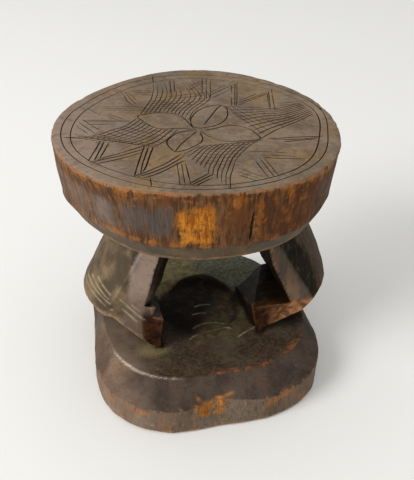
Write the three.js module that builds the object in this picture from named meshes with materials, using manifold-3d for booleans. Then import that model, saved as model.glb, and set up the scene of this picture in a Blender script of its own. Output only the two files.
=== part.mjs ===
import * as THREE from 'three';
import { mergeVertices } from 'three/addons/utils/BufferGeometryUtils.js';
import Module from 'manifold-3d';

// A stool carved from one block of wood: a thick round seat with a sloping underside, two bent
// wings that carry it, and a low two-lobed base. X runs through both wings, Y from the open front
// (negative) to the open back, Z up. The origin is under the middle of the whole stool, on the
// ground. All sizes are in millimetres.

// Driving dimensions
const HEIGHT = 276;
const SEAT_RADIUS = 136;
const SEAT_WALL = 55;
const SEAT_SLOPE_HEIGHT = 22;
const SEAT_SLOPE_RADIUS = 116.5;
const SEAT_WALL_TAPER = 8;
const SEAT_CENTRE = { x: -7.3, y: 1.7 };
const SEAT_EDGE_ROUND = 2.5;
const SEAT_LOWER_ROUND = 2;

const BASE_HEIGHT = 50;
const BASE_WALL = 31;
const BASE_FOOT_CHAMFER = 3;
const BASE_RADIUS = 136.4;
const BASE_RIM_RADIUS = 113.4;
const BASE_CENTRE_X = -5.5;
const BASE_RIM_CENTRE_X = -2;
const BASE_TOP_RISE = 1.5;
const BEVEL_BELLY = 1.08;
const DISH_RADIUS = 49;
const DISH_DEPTH = 5;
const DISH_CENTRE = { x: -7, y: 4 };

const WING_FRONT = -57;
const WING_BACK = 46;
const PASSAGE_BACK = 28;
const WING_INNER = 20;
const ELBOW_HEIGHT = 98;
const ELBOW_RADIUS = 79.5;
const ELBOW_CENTRE = { right: 55, left: 52 };
const WING_LEAN = 0.53;
const WING_BULGE = { right: 7, left: 1 };

// How far the whole stool moves so that the middle of its bounding box is at X = 0, Y = 0
const SHIFT = { x: 4.33, y: -7.18 };

// How finely the round bodies are divided, how far bodies that join bite into each other, how far
// cutting bodies reach past what they cut, and how near two points are taken as one
const ROUND_STEPS = 96;
const WING_STEPS = 72;
const CUT_SIZE = 300;
const GAP_REACH = 170;
const GAP_RISE = 10;
const GAP_FLOOR = BASE_HEIGHT - 0.3;
const BITE = 2;
const CUT_PAST = 3;
const SMALLEST_STEP = 0.05;
const SAME_POINT = 1e-4;
const SAME_CORNER = 1e-3;
const DEGREE = Math.PI / 180;

const UNDERSIDE = HEIGHT - SEAT_WALL - SEAT_SLOPE_HEIGHT;

const manifold = await Module();
manifold.setup();

/** A closed surface as a solid that can be joined and cut. */
function solid(geometry) {
  const plain = geometry.clone();
  plain.deleteAttribute('normal');
  plain.deleteAttribute('uv');
  const merged = mergeVertices(plain, SAME_POINT);
  const mesh = new manifold.Mesh({
    numProp: 3,
    vertProperties: new Float32Array(merged.attributes.position.array),
    triVerts: new Uint32Array(merged.index.array),
  });
  return new manifold.Manifold(mesh);
}

/** The surface of a joined solid. */
function geometryOf(body) {
  const mesh = body.getMesh();
  const geometry = new THREE.BufferGeometry();
  geometry.setAttribute('position', new THREE.BufferAttribute(new Float32Array(mesh.vertProperties), 3));
  geometry.setIndex(new THREE.BufferAttribute(new Uint32Array(mesh.triVerts), 1));
  geometry.computeVertexNormals();
  return geometry;
}

/** Moves every point of a surface by a rule that gives its new X, Y and Z. */
function reshape(geometry, rule) {
  const position = geometry.attributes.position;
  for (let i = 0; i < position.count; i += 1) {
    const [x, y, z] = rule(position.getX(i), position.getY(i), position.getZ(i));
    position.setXYZ(i, x, y, z);
  }
  return geometry;
}

/** A turned body about the Z axis from [radius, height] pairs that run from the bottom up. */
function turned(profile, steps) {
  const points = profile.map(([radius, height]) => new THREE.Vector2(radius, height));
  const geometry = new THREE.LatheGeometry(points, steps);
  geometry.rotateX(90 * DEGREE);
  return geometry;
}

/** A smooth hump of the angle, 1 at its middle and falling away over the width, both in degrees. */
function hump(angle, middle, width) {
  const turn = Math.atan2(Math.sin(angle - middle * DEGREE), Math.cos(angle - middle * DEGREE));
  return Math.exp(-((turn / (width * DEGREE)) ** 2));
}

/** The hand-cut round of the seat: a circle with a few slow waves, as a factor of the radius. */
function seatOutline(angle) {
  const waves = 1.9 * Math.cos(angle - 82 * DEGREE)
    + 2.4 * Math.cos(2 * (angle - 81 * DEGREE))
    + 3.9 * Math.cos(3 * (angle + 46 * DEGREE))
    + 1.3 * Math.cos(5 * (angle - 11 * DEGREE));
  return 1 + waves / SEAT_RADIUS;
}

/** How much further out than its taper the lower edge of the seat's wall stands, as a length. */
function seatSwell(angle) {
  const front = 4 * hump(angle, -105, 25) - 3.5 * hump(angle, -150, 16);
  const sides = 5 * hump(angle, 180, 18) + 8 * hump(angle, -8, 22);
  return front + sides + 4 * hump(angle, 90, 70);
}

/** How much of that swelling a height gets: none at the top, all from the wall's lower edge down. */
function seatSwellPart(height) {
  return Math.min(1, (HEIGHT - height) / SEAT_WALL);
}

/** How far the waists of the base cut in, front and back, from 0 to 1. */
function waist(angle) {
  return hump(angle, -93, 14) + hump(angle, 87, 14);
}

/** How far up the bevel of the base a height is, from 0 at the wall to 1 at the rim. */
function bevelPart(height) {
  return Math.min(1, Math.max(0, (height - BASE_WALL) / (BASE_HEIGHT - BASE_WALL)));
}

/** The radius of the base at an angle and a height: two lobes, with a waist between them. */
function baseRadius(angle, height) {
  const wide = Math.cos(2 * angle);
  const lobes = -Math.cos(4 * angle);
  const round = BASE_RADIUS - 5.2 * wide + 7.6 * lobes;
  const bottom = round - 3 * waist(angle) - 6 * hump(angle, 158, 22);
  const backRight = hump(angle, 37, 24);
  const shoulder = round - 13 * waist(angle) - 7 * hump(angle, 163, 27) - 9 * backRight;
  const rim = BASE_RIM_RADIUS + 1.2 * wide + 3.6 * lobes - 5 * waist(angle) - 7 * backRight;
  if (height <= BASE_WALL) {
    return bottom + (shoulder - bottom) * (height / BASE_WALL);
  }
  return shoulder + (rim - shoulder) * bevelPart(height) ** BEVEL_BELLY;
}

/** The X of the middle of the base outline at a height. */
function baseCentreX(height) {
  return BASE_CENTRE_X + (BASE_RIM_CENTRE_X - BASE_CENTRE_X) * bevelPart(height);
}

function seat() {
  const lower = SEAT_RADIUS - SEAT_WALL_TAPER;
  const profile = [
    [0, UNDERSIDE],
    [SEAT_SLOPE_RADIUS - SEAT_LOWER_ROUND, UNDERSIDE],
    [SEAT_SLOPE_RADIUS, UNDERSIDE + SEAT_LOWER_ROUND],
    [lower - SEAT_LOWER_ROUND, HEIGHT - SEAT_WALL - SEAT_LOWER_ROUND],
    [lower, HEIGHT - SEAT_WALL + SEAT_LOWER_ROUND],
    [SEAT_RADIUS, HEIGHT - SEAT_EDGE_ROUND],
    [SEAT_RADIUS - SEAT_EDGE_ROUND, HEIGHT],
    [0, HEIGHT],
  ];
  return reshape(turned(profile, ROUND_STEPS), (x, y, z) => {
    const angle = Math.atan2(y, x);
    const factor = seatOutline(angle) + seatSwell(angle) * seatSwellPart(z) / SEAT_RADIUS;
    return [SEAT_CENTRE.x + x * factor, SEAT_CENTRE.y + y * factor, z];
  });
}

function base() {
  const profile = [
    [0, 0],
    [1 - BASE_FOOT_CHAMFER / BASE_RADIUS, 0],
    [1, BASE_FOOT_CHAMFER],
    [1, BASE_WALL - 3],
    [1, BASE_WALL + 2],
    [1, BASE_WALL + 7],
    [1, BASE_WALL + 12],
    [1, BASE_HEIGHT - 1.5],
    [0.985, BASE_HEIGHT],
    [0, BASE_HEIGHT + BASE_TOP_RISE],
  ];
  return reshape(turned(profile, ROUND_STEPS), (x, y, z) => {
    const radius = baseRadius(Math.atan2(y, x), Math.min(z, BASE_HEIGHT));
    return [baseCentreX(z) + x * radius, y * radius, z];
  });
}

/** The shallow round hollow in the middle of the base, as a body to cut away. */
function dish() {
  const floor = BASE_HEIGHT - DISH_DEPTH;
  const profile = [
    [0, floor],
    [DISH_RADIUS * 0.6, floor + 0.5],
    [DISH_RADIUS * 0.93, floor + 2.5],
    [DISH_RADIUS, BASE_HEIGHT + CUT_PAST],
    [0, BASE_HEIGHT + CUT_PAST],
  ];
  const geometry = turned(profile, 48);
  geometry.translate(DISH_CENTRE.x, DISH_CENTRE.y, 0);
  return geometry;
}

/**
 * The outside of one wing: a round body whose middle leans inwards from the elbow up to the seat
 * and whose radius draws in below the elbow.
 */
function wingOutside(side, elbowCentre, bulge) {
  const foot = BASE_HEIGHT - BITE;
  const top = UNDERSIDE + BITE;
  const leanStart = ELBOW_HEIGHT + 3;
  const profile = [
    [0, foot],
    [58, foot],
    [66, 68],
    [71, 76],
    [75.5, 84],
    [78, 91],
    [ELBOW_RADIUS, ELBOW_HEIGHT],
    [ELBOW_RADIUS, 106],
    [ELBOW_RADIUS, 122],
    [ELBOW_RADIUS, 140],
    [ELBOW_RADIUS, 160],
    [ELBOW_RADIUS, 180],
    [ELBOW_RADIUS, top],
    [0, top],
  ];
  return reshape(turned(profile, WING_STEPS), (x, y, z) => {
    const rise = Math.max(0, z - leanStart);
    const angle = Math.atan2(y, side * x);
    const swell = bulge * hump(angle, 5, 32) * Math.sin(Math.PI * rise / (top - leanStart));
    return [side * (elbowCentre - WING_LEAN * rise + swell) + x, y, z];
  });
}

/**
 * A body between a front and a back outline in the XZ plane. Both outlines have the same number of
 * corners, and each front corner runs straight to its back corner.
 */
function runThrough(front, back, frontY, backY) {
  const shape = new THREE.Shape(front.map(([x, z]) => new THREE.Vector2(x, z)));
  const geometry = new THREE.ExtrudeGeometry(shape, { depth: 1, steps: 1, bevelEnabled: false });
  return reshape(geometry, (x, z, depth) => {
    const corner = front.findIndex(([fx, fz]) => Math.hypot(fx - x, fz - z) < SAME_CORNER);
    const [backX, backZ] = back[corner];
    return depth > 0.5 ? [x, frontY, z] : [backX, backY, backZ];
  });
}

/** A box from its lowest to its highest corner. */
function block(low, high) {
  const size = high.map((value, i) => value - low[i]);
  const geometry = new THREE.BoxGeometry(...size);
  geometry.translate(...high.map((value, i) => (value + low[i]) / 2));
  return geometry;
}

// The opening from front to back between the wings. Going round: the floor, the inner wall of the
// right lower arm and its top, the bend, the inside of the right upper arm, the ceiling, and back
// down the left wing in the same order.
const floor = BASE_HEIGHT - 0.5;
const ceiling = UNDERSIDE + 0.01;
const passageFront = [
  [47, floor],
  [39, 88],
  [81, 87],
  [68, 117],
  [57, 140],
  [50, 168],
  [44, ceiling],
  [-34, ceiling],
  [-44, 163],
  [-52.5, 131],
  [-61, 114],
  [-67, 97],
  [-56, 91],
  [-60, floor],
];
const passageBack = [
  [43, floor],
  [45, 52],
  [84, 78],
  [72, 96],
  [60, 125],
  [52, 163],
  [45, ceiling],
  [-40, ceiling],
  [-50, 163],
  [-60, 128],
  [-71, 104],
  [-80, 80],
  [-50, 53],
  [-50, floor],
];

/** The corners where the passage outlines would be at another depth Y, by straight lines. */
function passageAt(y) {
  const part = (y - WING_FRONT) / (PASSAGE_BACK - WING_FRONT);
  return passageFront.map(([x, z], i) => {
    const [backX, backZ] = passageBack[i];
    return [x + (backX - x) * part, z + (backZ - z) * part];
  });
}

/** The passage as a body, with its floor lowered by a drop. */
function passage(drop) {
  const nearY = WING_FRONT - CUT_PAST;
  const farY = WING_BACK + CUT_PAST;
  const lowered = (outline) => outline.map(([x, z]) => [x, z === floor ? z - drop : z]);
  return solid(runThrough(lowered(passageAt(nearY)), lowered(passageAt(farY)), nearY, farY));
}

/**
 * The gap under one wing's lower arm, a wedge that opens outwards. Each outline is its [X, Z]
 * corners at the foot, at the bend and where it leaves the wing, with X counted outwards.
 */
function underArm(side, frontCorners, backCorners) {
  const outline = ([foot, elbow, edge]) => [
    [foot[0], GAP_FLOOR],
    [GAP_REACH, GAP_FLOOR],
    [GAP_REACH, edge[1] + GAP_RISE],
    edge,
    elbow,
    foot,
  ].map(([x, z]) => [side * x, z]);
  const front = outline(frontCorners);
  const back = outline(backCorners);
  if (side < 0) {
    front.reverse();
    back.reverse();
  }
  return runThrough(front, back, WING_FRONT - CUT_PAST, -WING_FRONT);
}

const gapUnderRight = {
  front: [[52, 58], [95, 74], [120, 84]],
  back: [[62, 52], [100, 66], [132, 87]],
};
const gapUnderLeft = {
  front: [[64, 52.5], [84, 73.5], [107, 99.5]],
  back: [[64, 54], [88, 72], [130, 98]],
};

/** A block to cut away, on the side of the plane through three points that their order faces. */
function beyond(first, second, third) {
  const [a, b, c] = [first, second, third].map((point) => new THREE.Vector3(...point));
  const along = b.clone().sub(a).normalize();
  const out = along.clone().cross(c.clone().sub(a)).normalize();
  const across = out.clone().cross(along);
  const geometry = new THREE.BoxGeometry(CUT_SIZE, CUT_SIZE, CUT_SIZE);
  geometry.translate(0, 0, CUT_SIZE / 2);
  geometry.applyMatrix4(new THREE.Matrix4().makeBasis(along, across, out));
  geometry.translate(a.x, a.y, a.z);
  return geometry;
}

// Flat faces of the wings, each by three points: the back of the right wing, and the facets along
// the outer arrises of both fronts
const rightBackFace = [[84, 28, 50], [44, 19, 50], [84, 28, 100]];
const rightFacet = [[63, WING_FRONT, 163], [106, WING_FRONT, 90], [101.4, -47.5, 132.4]];
const leftFacet = [[-84, WING_FRONT, 76], [-57, WING_FRONT, 167], [-88, -52.7, 134.5]];

// The hollow facet between the front of the left wing and the passage, by the corners of the wedge
// that it leaves
const leftInnerFacet = [
  [-52, WING_FRONT - CUT_PAST, 186],
  [-75, WING_FRONT - CUT_PAST, 112],
  [-52, WING_FRONT, 186],
  [-75, WING_FRONT, 112],
  [-42, -44, 168],
  [-66, -46, 104],
  [-WING_INNER, WING_FRONT - CUT_PAST, 186],
  [-WING_INNER, WING_FRONT - CUT_PAST, 100],
  [-WING_INNER, -44, 168],
  [-WING_INNER, -44, 100],
];

function wings() {
  const ahead = solid(block([-CUT_SIZE, -CUT_SIZE, 0], [CUT_SIZE, WING_FRONT, HEIGHT]));
  const right = solid(wingOutside(1, ELBOW_CENTRE.right, WING_BULGE.right))
    .subtract(ahead)
    .subtract(solid(beyond(...rightBackFace)))
    .subtract(solid(block([-CUT_SIZE, -CUT_SIZE, 0], [WING_INNER, CUT_SIZE, HEIGHT])))
    .subtract(solid(underArm(1, gapUnderRight.front, gapUnderRight.back)))
    .subtract(solid(beyond(...rightFacet)));
  const left = solid(wingOutside(-1, ELBOW_CENTRE.left, WING_BULGE.left))
    .subtract(ahead)
    .subtract(solid(block([-CUT_SIZE, WING_BACK, 0], [CUT_SIZE, CUT_SIZE, HEIGHT])))
    .subtract(solid(block([-WING_INNER, -CUT_SIZE, 0], [CUT_SIZE, CUT_SIZE, HEIGHT])))
    .subtract(solid(underArm(-1, gapUnderLeft.front, gapUnderLeft.back)))
    .subtract(solid(beyond(...leftFacet)))
    .subtract(manifold.Manifold.hull(leftInnerFacet));
  return right.add(left).subtract(passage(0));
}

function stool() {
  const hollow = solid(dish()).intersect(passage(DISH_DEPTH + CUT_PAST));
  const body = solid(base()).add(solid(seat())).add(wings()).subtract(hollow);
  const geometry = geometryOf(body.simplify(SMALLEST_STEP));
  geometry.translate(SHIFT.x, SHIFT.y, 0);
  const wood = new THREE.MeshStandardMaterial({ color: 0x4a382b, roughness: 0.62, metalness: 0 });
  const mesh = new THREE.Mesh(geometry, wood);
  mesh.name = 'stool';
  return mesh;
}

const group = new THREE.Group();
group.add(stool());

export default group;
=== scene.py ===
# %% [markdown]
# # A stool carved from one block of wood
# The stool is a single piece: a round seat with an incised top, two bent wings under it and a low
# two-lobed base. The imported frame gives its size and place, and everything here is built over it.
# Lengths are in millimetres in the carver's own layout and become metres when a mesh is made.

# %% Load the frame
from contextlib import contextmanager
import bmesh
import bpy
import numpy as np
from mathutils import Matrix, Vector
from mathutils.geometry import delaunay_2d_cdt


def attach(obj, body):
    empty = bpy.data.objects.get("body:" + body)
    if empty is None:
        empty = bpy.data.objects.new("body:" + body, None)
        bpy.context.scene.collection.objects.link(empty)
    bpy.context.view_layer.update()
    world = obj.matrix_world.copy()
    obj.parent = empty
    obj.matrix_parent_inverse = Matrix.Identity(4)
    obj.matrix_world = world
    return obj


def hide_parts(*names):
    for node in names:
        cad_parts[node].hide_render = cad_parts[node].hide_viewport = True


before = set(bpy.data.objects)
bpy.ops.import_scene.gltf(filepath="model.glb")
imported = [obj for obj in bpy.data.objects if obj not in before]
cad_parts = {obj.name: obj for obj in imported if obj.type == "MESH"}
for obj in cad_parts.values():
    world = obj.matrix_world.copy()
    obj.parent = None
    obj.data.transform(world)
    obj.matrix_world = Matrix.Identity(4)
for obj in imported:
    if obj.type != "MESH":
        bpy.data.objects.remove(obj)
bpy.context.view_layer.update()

# %% [markdown]
# The carver's layout has X through both wings and Y through the open passage. The frame's origin is
# under the middle of the whole stool, so one small move takes every point there. A few driving sizes
# give the seat, the base and the wings; the rest is worked out from them.

# %% Sizes
MOVE = np.array([4.33, -7.18, 0.0])
HEIGHT = 276.0
SEAT_RADIUS, SEAT_WALL, SEAT_SLOPE = 136.0, 55.0, 22.0
SLOPE_RADIUS, WALL_TAPER = 116.5, 8.0
SEAT_X, SEAT_Y = -7.3, 1.7
WALL_FOOT = HEIGHT - SEAT_WALL
UNDERSIDE = WALL_FOOT - SEAT_SLOPE
BASE_HEIGHT, BASE_WALL = 50.0, 31.0
BASE_RADIUS, RIM_RADIUS = 136.4, 113.4
FRONT, LEFT_BACK = -57.0, 46.0
ELBOW_HEIGHT, ELBOW_RADIUS, LEAN = 98.0, 79.5, 0.53
DEG = np.pi / 180
print("seat from", UNDERSIDE, "to", HEIGHT, "mm, base up to", BASE_HEIGHT, "mm")

# %% [markdown]
# A hand-cut form is never quite round or flat. Three small curves describe it all: a bell where
# something swells or sinks, soft waves for an uneven surface, and a soft step where one thing ends
# and the next begins. They work on whole arrays of points at once.

# %% Curves used everywhere
def hump(angle, middle, width):
    """1 at the middle angle, falling away as a bell over the width; both in degrees."""
    turn = np.arctan2(np.sin(angle - middle * DEG), np.cos(angle - middle * DEG))
    return np.exp(-((turn / (width * DEG)) ** 2))


def bell(value, middle, width):
    """e to the minus squared distance from the middle over the squared width."""
    return np.exp(-((value - middle) / width) ** 2)


def waves(points, size, seed, count=20):
    """Smooth noise between about -1 and 1: the sum of sine waves in random directions whose lengths
    lie around the given size."""
    rng = np.random.default_rng(seed)
    way = rng.normal(size=(count, 3))
    way /= np.linalg.norm(way, axis=1, keepdims=True)
    way *= (2 * np.pi / size) * rng.uniform(0.6, 1.4, (count, 1))
    start = rng.uniform(0, 2 * np.pi, count)
    return np.sin(points @ way.T + start).sum(1) / np.sqrt(count)


def step_up(value, low, high):
    """0 below low, 1 above high, and the smooth curve 3t^2 - 2t^3 between."""
    t = np.clip((value - low) / (high - low), 0, 1)
    return t * t * (3 - 2 * t)


def step_down(value, low, high):
    """1 below low, 0 above high, and the same smooth curve between."""
    return 1 - step_up(value, low, high)


# %% [markdown]
# Most of the forms are rings stacked from the bottom up. A stack of rings is a grid with two
# parameters, the angle and the row, and it closes with a point in the middle of each end. The whole
# grid is worked out as one array, which is much quicker than placing points one by one.

# %% Grids into meshes
def mesh_object(name, points, faces):
    """A mesh object from points in the carver's millimetres."""
    mesh = bpy.data.meshes.new(name)
    mesh.from_pydata(((np.asarray(points) + MOVE) * 0.001).tolist(), [], faces)
    mesh.update()
    thing = bpy.data.objects.new(name, mesh)
    bpy.context.scene.collection.objects.link(thing)
    return thing


def ring_faces(rows, columns):
    """Quads between neighbouring rings of a stack, as an array of four corners each."""
    r, c = np.meshgrid(np.arange(rows - 1), np.arange(columns), indexing="ij")
    n = (c + 1) % columns
    quads = np.stack([r * columns + c, r * columns + n, (r + 1) * columns + n, (r + 1) * columns + c], -1)
    return quads.reshape(-1, 4)


def stacked(name, rings, cap_top=True):
    """A body from rings (rows, columns, 3) that run upwards, closed below and, if asked, above."""
    rows, columns, _ = rings.shape
    c = np.arange(columns)
    n = (c + 1) % columns
    points = np.vstack([rings.reshape(-1, 3), rings[0].mean(0)])
    faces = ring_faces(rows, columns).tolist()
    faces += np.stack([np.full(columns, len(points) - 1), n, c], 1).tolist()
    if cap_top:
        points = np.vstack([points, rings[-1].mean(0)])
        last = (rows - 1) * columns
        faces += np.stack([np.full(columns, len(points) - 1), last + c, last + n], 1).tolist()
    return mesh_object(name, points, faces)


def read_points(thing):
    """All points of a mesh object as an array in the carver's millimetres."""
    data = np.empty(len(thing.data.vertices) * 3, np.float32)
    thing.data.vertices.foreach_get("co", data)
    return data.reshape(-1, 3).astype(float) * 1000 - MOVE


def write_points(thing, points):
    """Puts points in the carver's millimetres back into the mesh."""
    thing.data.vertices.foreach_set("co", ((points + MOVE) * 0.001).astype(np.float32).ravel())
    thing.data.update()


def read_normals(thing):
    """The unit normal at every point."""
    data = np.empty(len(thing.data.vertices) * 3, np.float32)
    thing.data.vertex_normals.foreach_get("vector", data)
    return data.reshape(-1, 3).astype(float)


@contextmanager
def opened(thing):
    """An object's mesh laid open as a bmesh, which is written back at the end."""
    work = bmesh.new()
    work.from_mesh(thing.data)
    yield work
    work.to_mesh(thing.data)
    work.free()


def turn_outwards(thing):
    """Makes all faces of a closed mesh face outwards."""
    with opened(thing) as work:
        bmesh.ops.recalc_face_normals(work, faces=work.faces)
    return thing


def settle(thing, kind, **settings):
    """Adds one modifier and applies it."""
    modifier = thing.modifiers.new(kind.lower(), kind)
    for key, value in settings.items():
        setattr(modifier, key, value)
    with bpy.context.temp_override(object=thing, active_object=thing, selected_objects=[thing]):
        bpy.ops.object.modifier_apply(modifier=modifier.name)


def combine(thing, other, operation, solver="EXACT"):
    """Joins or cuts one closed body with another, which is then removed."""
    settle(thing, "BOOLEAN", operation=operation, object=other, solver=solver)
    bpy.data.objects.remove(other, do_unlink=True)


# %% [markdown]
# The base carries the stool: two lobes with a waist at the front and at the back, and a bevel that
# draws in from the wall to the rim. It could be modelled by hand from a cylinder, but one formula for
# its radius keeps the two lobes, the waists and the bevel in step, so it is one stack of rings.

# %% Base
def base_radius(angle, z):
    """A circle plus waves of two and four to the turn, less a bell at each waist; the bevel carries
    the wall's outline over to the rim's."""
    wide, lobes = np.cos(2 * angle), -np.cos(4 * angle)
    waist = hump(angle, -93, 14) + hump(angle, 87, 14)
    back_left, back_right = hump(angle, 163, 27), hump(angle, 37, 24)
    bottom = BASE_RADIUS - 5.2 * wide + 7.6 * lobes - 3 * waist - 6 * hump(angle, 158, 22)
    shoulder = BASE_RADIUS - 5.2 * wide + 7.6 * lobes - 13 * waist - 7 * back_left - 9 * back_right
    rim = RIM_RADIUS + 1.2 * wide + 3.6 * lobes - 5 * waist - 7 * back_right
    up = np.clip((z - BASE_WALL) / (BASE_HEIGHT - BASE_WALL), 0, 1) ** 1.08
    wall = bottom + (shoulder - bottom) * np.clip(z / BASE_WALL, 0, 1)
    return np.where(z <= BASE_WALL, wall, shoulder + (rim - shoulder) * up)


def base_rings(columns=220):
    """Rings from the middle of the underside out, up the wall and bevel, and in over the top. Each
    is a share of the radius at a height; the bevel's middle moves over by a few millimetres."""
    angle = np.linspace(-np.pi, np.pi, columns, endpoint=False)
    under = [(0.3, 0), (0.6, 0), (0.85, 0), (0.978, 0), (1, 2.5)]
    outside = [(1, z) for z in (*range(7, 32, 4), *range(34, 47, 3), 48, 50)]
    rim = [(0.97, 50.2), (0.93, 50.3), (0.86, 50.4)]
    top = [(share, 51) for share in (0.75, 0.6, 0.5, 0.46, 0.43, 0.4, 0.36, 0.3, 0.22, 0.14, 0.07)]
    rows = []
    for share, z in under + outside + rim + top:
        radius = share * base_radius(angle, np.full(columns, min(z, BASE_HEIGHT)))
        middle = -5.5 + 3.5 * np.clip((z - BASE_WALL) / (BASE_HEIGHT - BASE_WALL), 0, 1)
        rows.append(np.stack([middle + radius * np.cos(angle), radius * np.sin(angle),
                              np.full(columns, float(z))], 1))
    return np.array(rows)


base = stacked("base", base_rings())
print("base", len(base.data.vertices), "points")

# %% [markdown]
# Each wing starts as a leaning round body, like a bent trunk, and is then cut as a carver would cut
# it: flat at the front, back and inside, a wedge out from under the lower arm, a facet along the
# outer arris, and last the passage from front to back. Cutting planes leave the crisp arrises that
# an axe and an adze leave, which a sculpted form would not.

# %% Round bodies of the wings
def wing_rings(side, elbow_x, bulge, columns=128):
    """Rings of a round body whose middle leans in above the elbow and whose side swells a little."""
    angle = np.linspace(-np.pi, np.pi, columns, endpoint=False)
    heights = [46, 57, 68, 76, 84, 91, ELBOW_HEIGHT, *np.arange(106, UNDERSIDE + 8, 8), UNDERSIDE + 8]
    radii = np.interp(heights, [46, 68, 76, 84, 91, ELBOW_HEIGHT], [58, 66, 71, 75.5, 78, ELBOW_RADIUS])
    z, a = np.meshgrid(heights, angle, indexing="ij")
    rise = np.maximum(0, z - ELBOW_HEIGHT - 3)
    swell = bulge * hump(np.arctan2(np.sin(a), side * np.cos(a)), 5, 32)
    swell = swell * np.sin(np.pi * np.minimum(1, rise / (UNDERSIDE - ELBOW_HEIGHT - 1)))
    x = side * (elbow_x - LEAN * rise + swell) + radii[:, None] * np.cos(a)
    return np.stack([x, radii[:, None] * np.sin(a), z], -1)


right = stacked("wing right", wing_rings(1, 55, 7))
left = stacked("wing left", wing_rings(-1, 52, 1))
print("round bodies", len(right.data.vertices), "points each")


# %% Cutters
def cut_plane(thing, point, facing):
    """Cuts away what lies on the facing side of a plane and closes the cut."""
    place = Vector(((np.array(point) + MOVE) * 0.001).tolist())
    with opened(thing) as work:
        bmesh.ops.bisect_plane(work, geom=work.verts[:] + work.edges[:] + work.faces[:], dist=1e-7,
                               plane_co=place, plane_no=Vector(facing), clear_outer=True)
        bmesh.ops.holes_fill(work, edges=[e for e in work.edges if e.is_boundary], sides=0)
        bmesh.ops.recalc_face_normals(work, faces=work.faces)


def cut_through(thing, first, second, third):
    """Cuts along the plane through three points, on the side that their order faces."""
    a, b, c = (np.array(p, float) for p in (first, second, third))
    cut_plane(thing, a, np.cross(b - a, c - a).tolist())


def run_through(front, back, front_y, back_y):
    """A body between a front and a back outline of the same number of X and Z corners."""
    n = len(front)
    points = [[x, front_y, z] for x, z in front] + [[x, back_y, z] for x, z in back]
    faces = [list(range(n)), list(range(2 * n - 1, n - 1, -1))]
    faces += [[i, (i + 1) % n, n + (i + 1) % n, n + i] for i in range(n)]
    return turn_outwards(mesh_object("cutter", points, faces))


def under_arm(side, front_corners, back_corners):
    """The wedge under a lower arm, from its corners at the foot, at the bend and at the edge."""
    below, beyond = BASE_HEIGHT - 0.3, 170

    def outline(corners):
        foot, bend, edge = corners
        way = [(foot[0], below), (beyond, below), (beyond, edge[1] + 10), edge, bend, foot]
        return [(side * x, z) for x, z in way]
    return run_through(outline(front_corners), outline(back_corners), FRONT - 3, -FRONT)


def hull(points):
    """The smallest convex body round some points."""
    thing = mesh_object("cutter", points, [])
    with opened(thing) as work:
        bmesh.ops.convex_hull(work, input=work.verts)
        bmesh.ops.recalc_face_normals(work, faces=work.faces)
    return thing


# %% The passage
FLOOR, CEILING = BASE_HEIGHT - 0.5, UNDERSIDE + 9
PASSAGE_DEPTH = 85
passage_front = np.array([
    (47, FLOOR), (39, 88), (81, 87), (68, 117), (57, 140), (50, 168), (44, 199), (43, CEILING),
    (-33, CEILING), (-34, 199), (-44, 163), (-52.5, 131), (-61, 114), (-67, 97), (-56, 91), (-60, FLOOR)])
passage_back = np.array([
    (43, FLOOR), (45, 52), (84, 78), (72, 96), (60, 125), (52, 163), (45, 199), (44, CEILING),
    (-39, CEILING), (-40, 199), (-50, 163), (-60, 128), (-71, 104), (-80, 80), (-50, 53), (-50, FLOOR)])


def passage_cutter():
    """The passage's body, a little longer than the wings are deep. Its outline at a depth lies on
    straight lines from the front outline to the back one."""
    def outline(y):
        return (passage_front + (passage_back - passage_front) * (y - FRONT) / PASSAGE_DEPTH).tolist()
    start, end = FRONT - 2, LEFT_BACK + 2
    return run_through(outline(start), outline(end), start, end)


# %% Cut the wings
cut_plane(right, (0, FRONT, 0), (0, -1, 0))
cut_plane(right, (20, 0, 0), (-1, 0, 0))
cut_through(right, (84, 28, 50), (44, 19, 50), (84, 28, 100))
cut_through(right, (63, FRONT, 163), (106, FRONT, 90), (101.4, -47.5, 132.4))
shadow_under_right = under_arm(1, [(52, 58), (95, 74), (120, 84)], [(62, 52), (100, 66), (132, 87)])
combine(right, shadow_under_right, "DIFFERENCE")
cut_plane(left, (0, FRONT, 0), (0, -1, 0))
cut_plane(left, (-20, 0, 0), (1, 0, 0))
cut_plane(left, (0, LEFT_BACK, 0), (0, 1, 0))
cut_through(left, (-84, FRONT, 76), (-57, FRONT, 167), (-88, -52.7, 134.5))
under_left = under_arm(-1, [(64, 52.5), (84, 73.5), (107, 99.5)], [(64, 54), (88, 72), (130, 98)])
combine(left, under_left, "DIFFERENCE")
# the left wing's second facet, along its inner arris
combine(left, hull([(-52, -60, 186), (-75, -60, 112), (-52, FRONT, 186), (-75, FRONT, 112), (-42, -44, 168),
                    (-66, -46, 104), (-20, -60, 186), (-20, -60, 100), (-20, -44, 168), (-20, -44, 100)]),
        "DIFFERENCE")
for wing in (right, left):
    combine(wing, passage_cutter(), "DIFFERENCE")
    print(wing.name, len(wing.data.vertices), "points")

# %% [markdown]
# Wings and base become one body. A remesh in its sharp mode gives it even, small faces and keeps the
# arrises; the marks of the tools then go in along the normals. They are shallow scallops side by
# side: a random seed for each stroke, and a small bowl round each seed. A shallow round dish lies
# between the feet of the wings.

# %% Lower body
combine(base, right, "UNION")
combine(base, left, "UNION")
lower = base
lower.name = "lower"
settle(lower, "REMESH", mode="SHARP", octree_depth=8, scale=0.44, sharpness=1.0,
       use_remove_disconnected=False)
print("lower body", len(lower.data.vertices), "points")


# %% Marks of the tools
def nearest_distance(points, seeds):
    """Distance to the nearest seed, worked out in blocks to save memory."""
    nearest = np.empty(len(points))
    for i in range(0, len(points), 4096):
        nearest[i:i + 4096] = np.sqrt(((points[i:i + 4096, None, :] - seeds[None]) ** 2).sum(-1).min(1))
    return nearest


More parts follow.
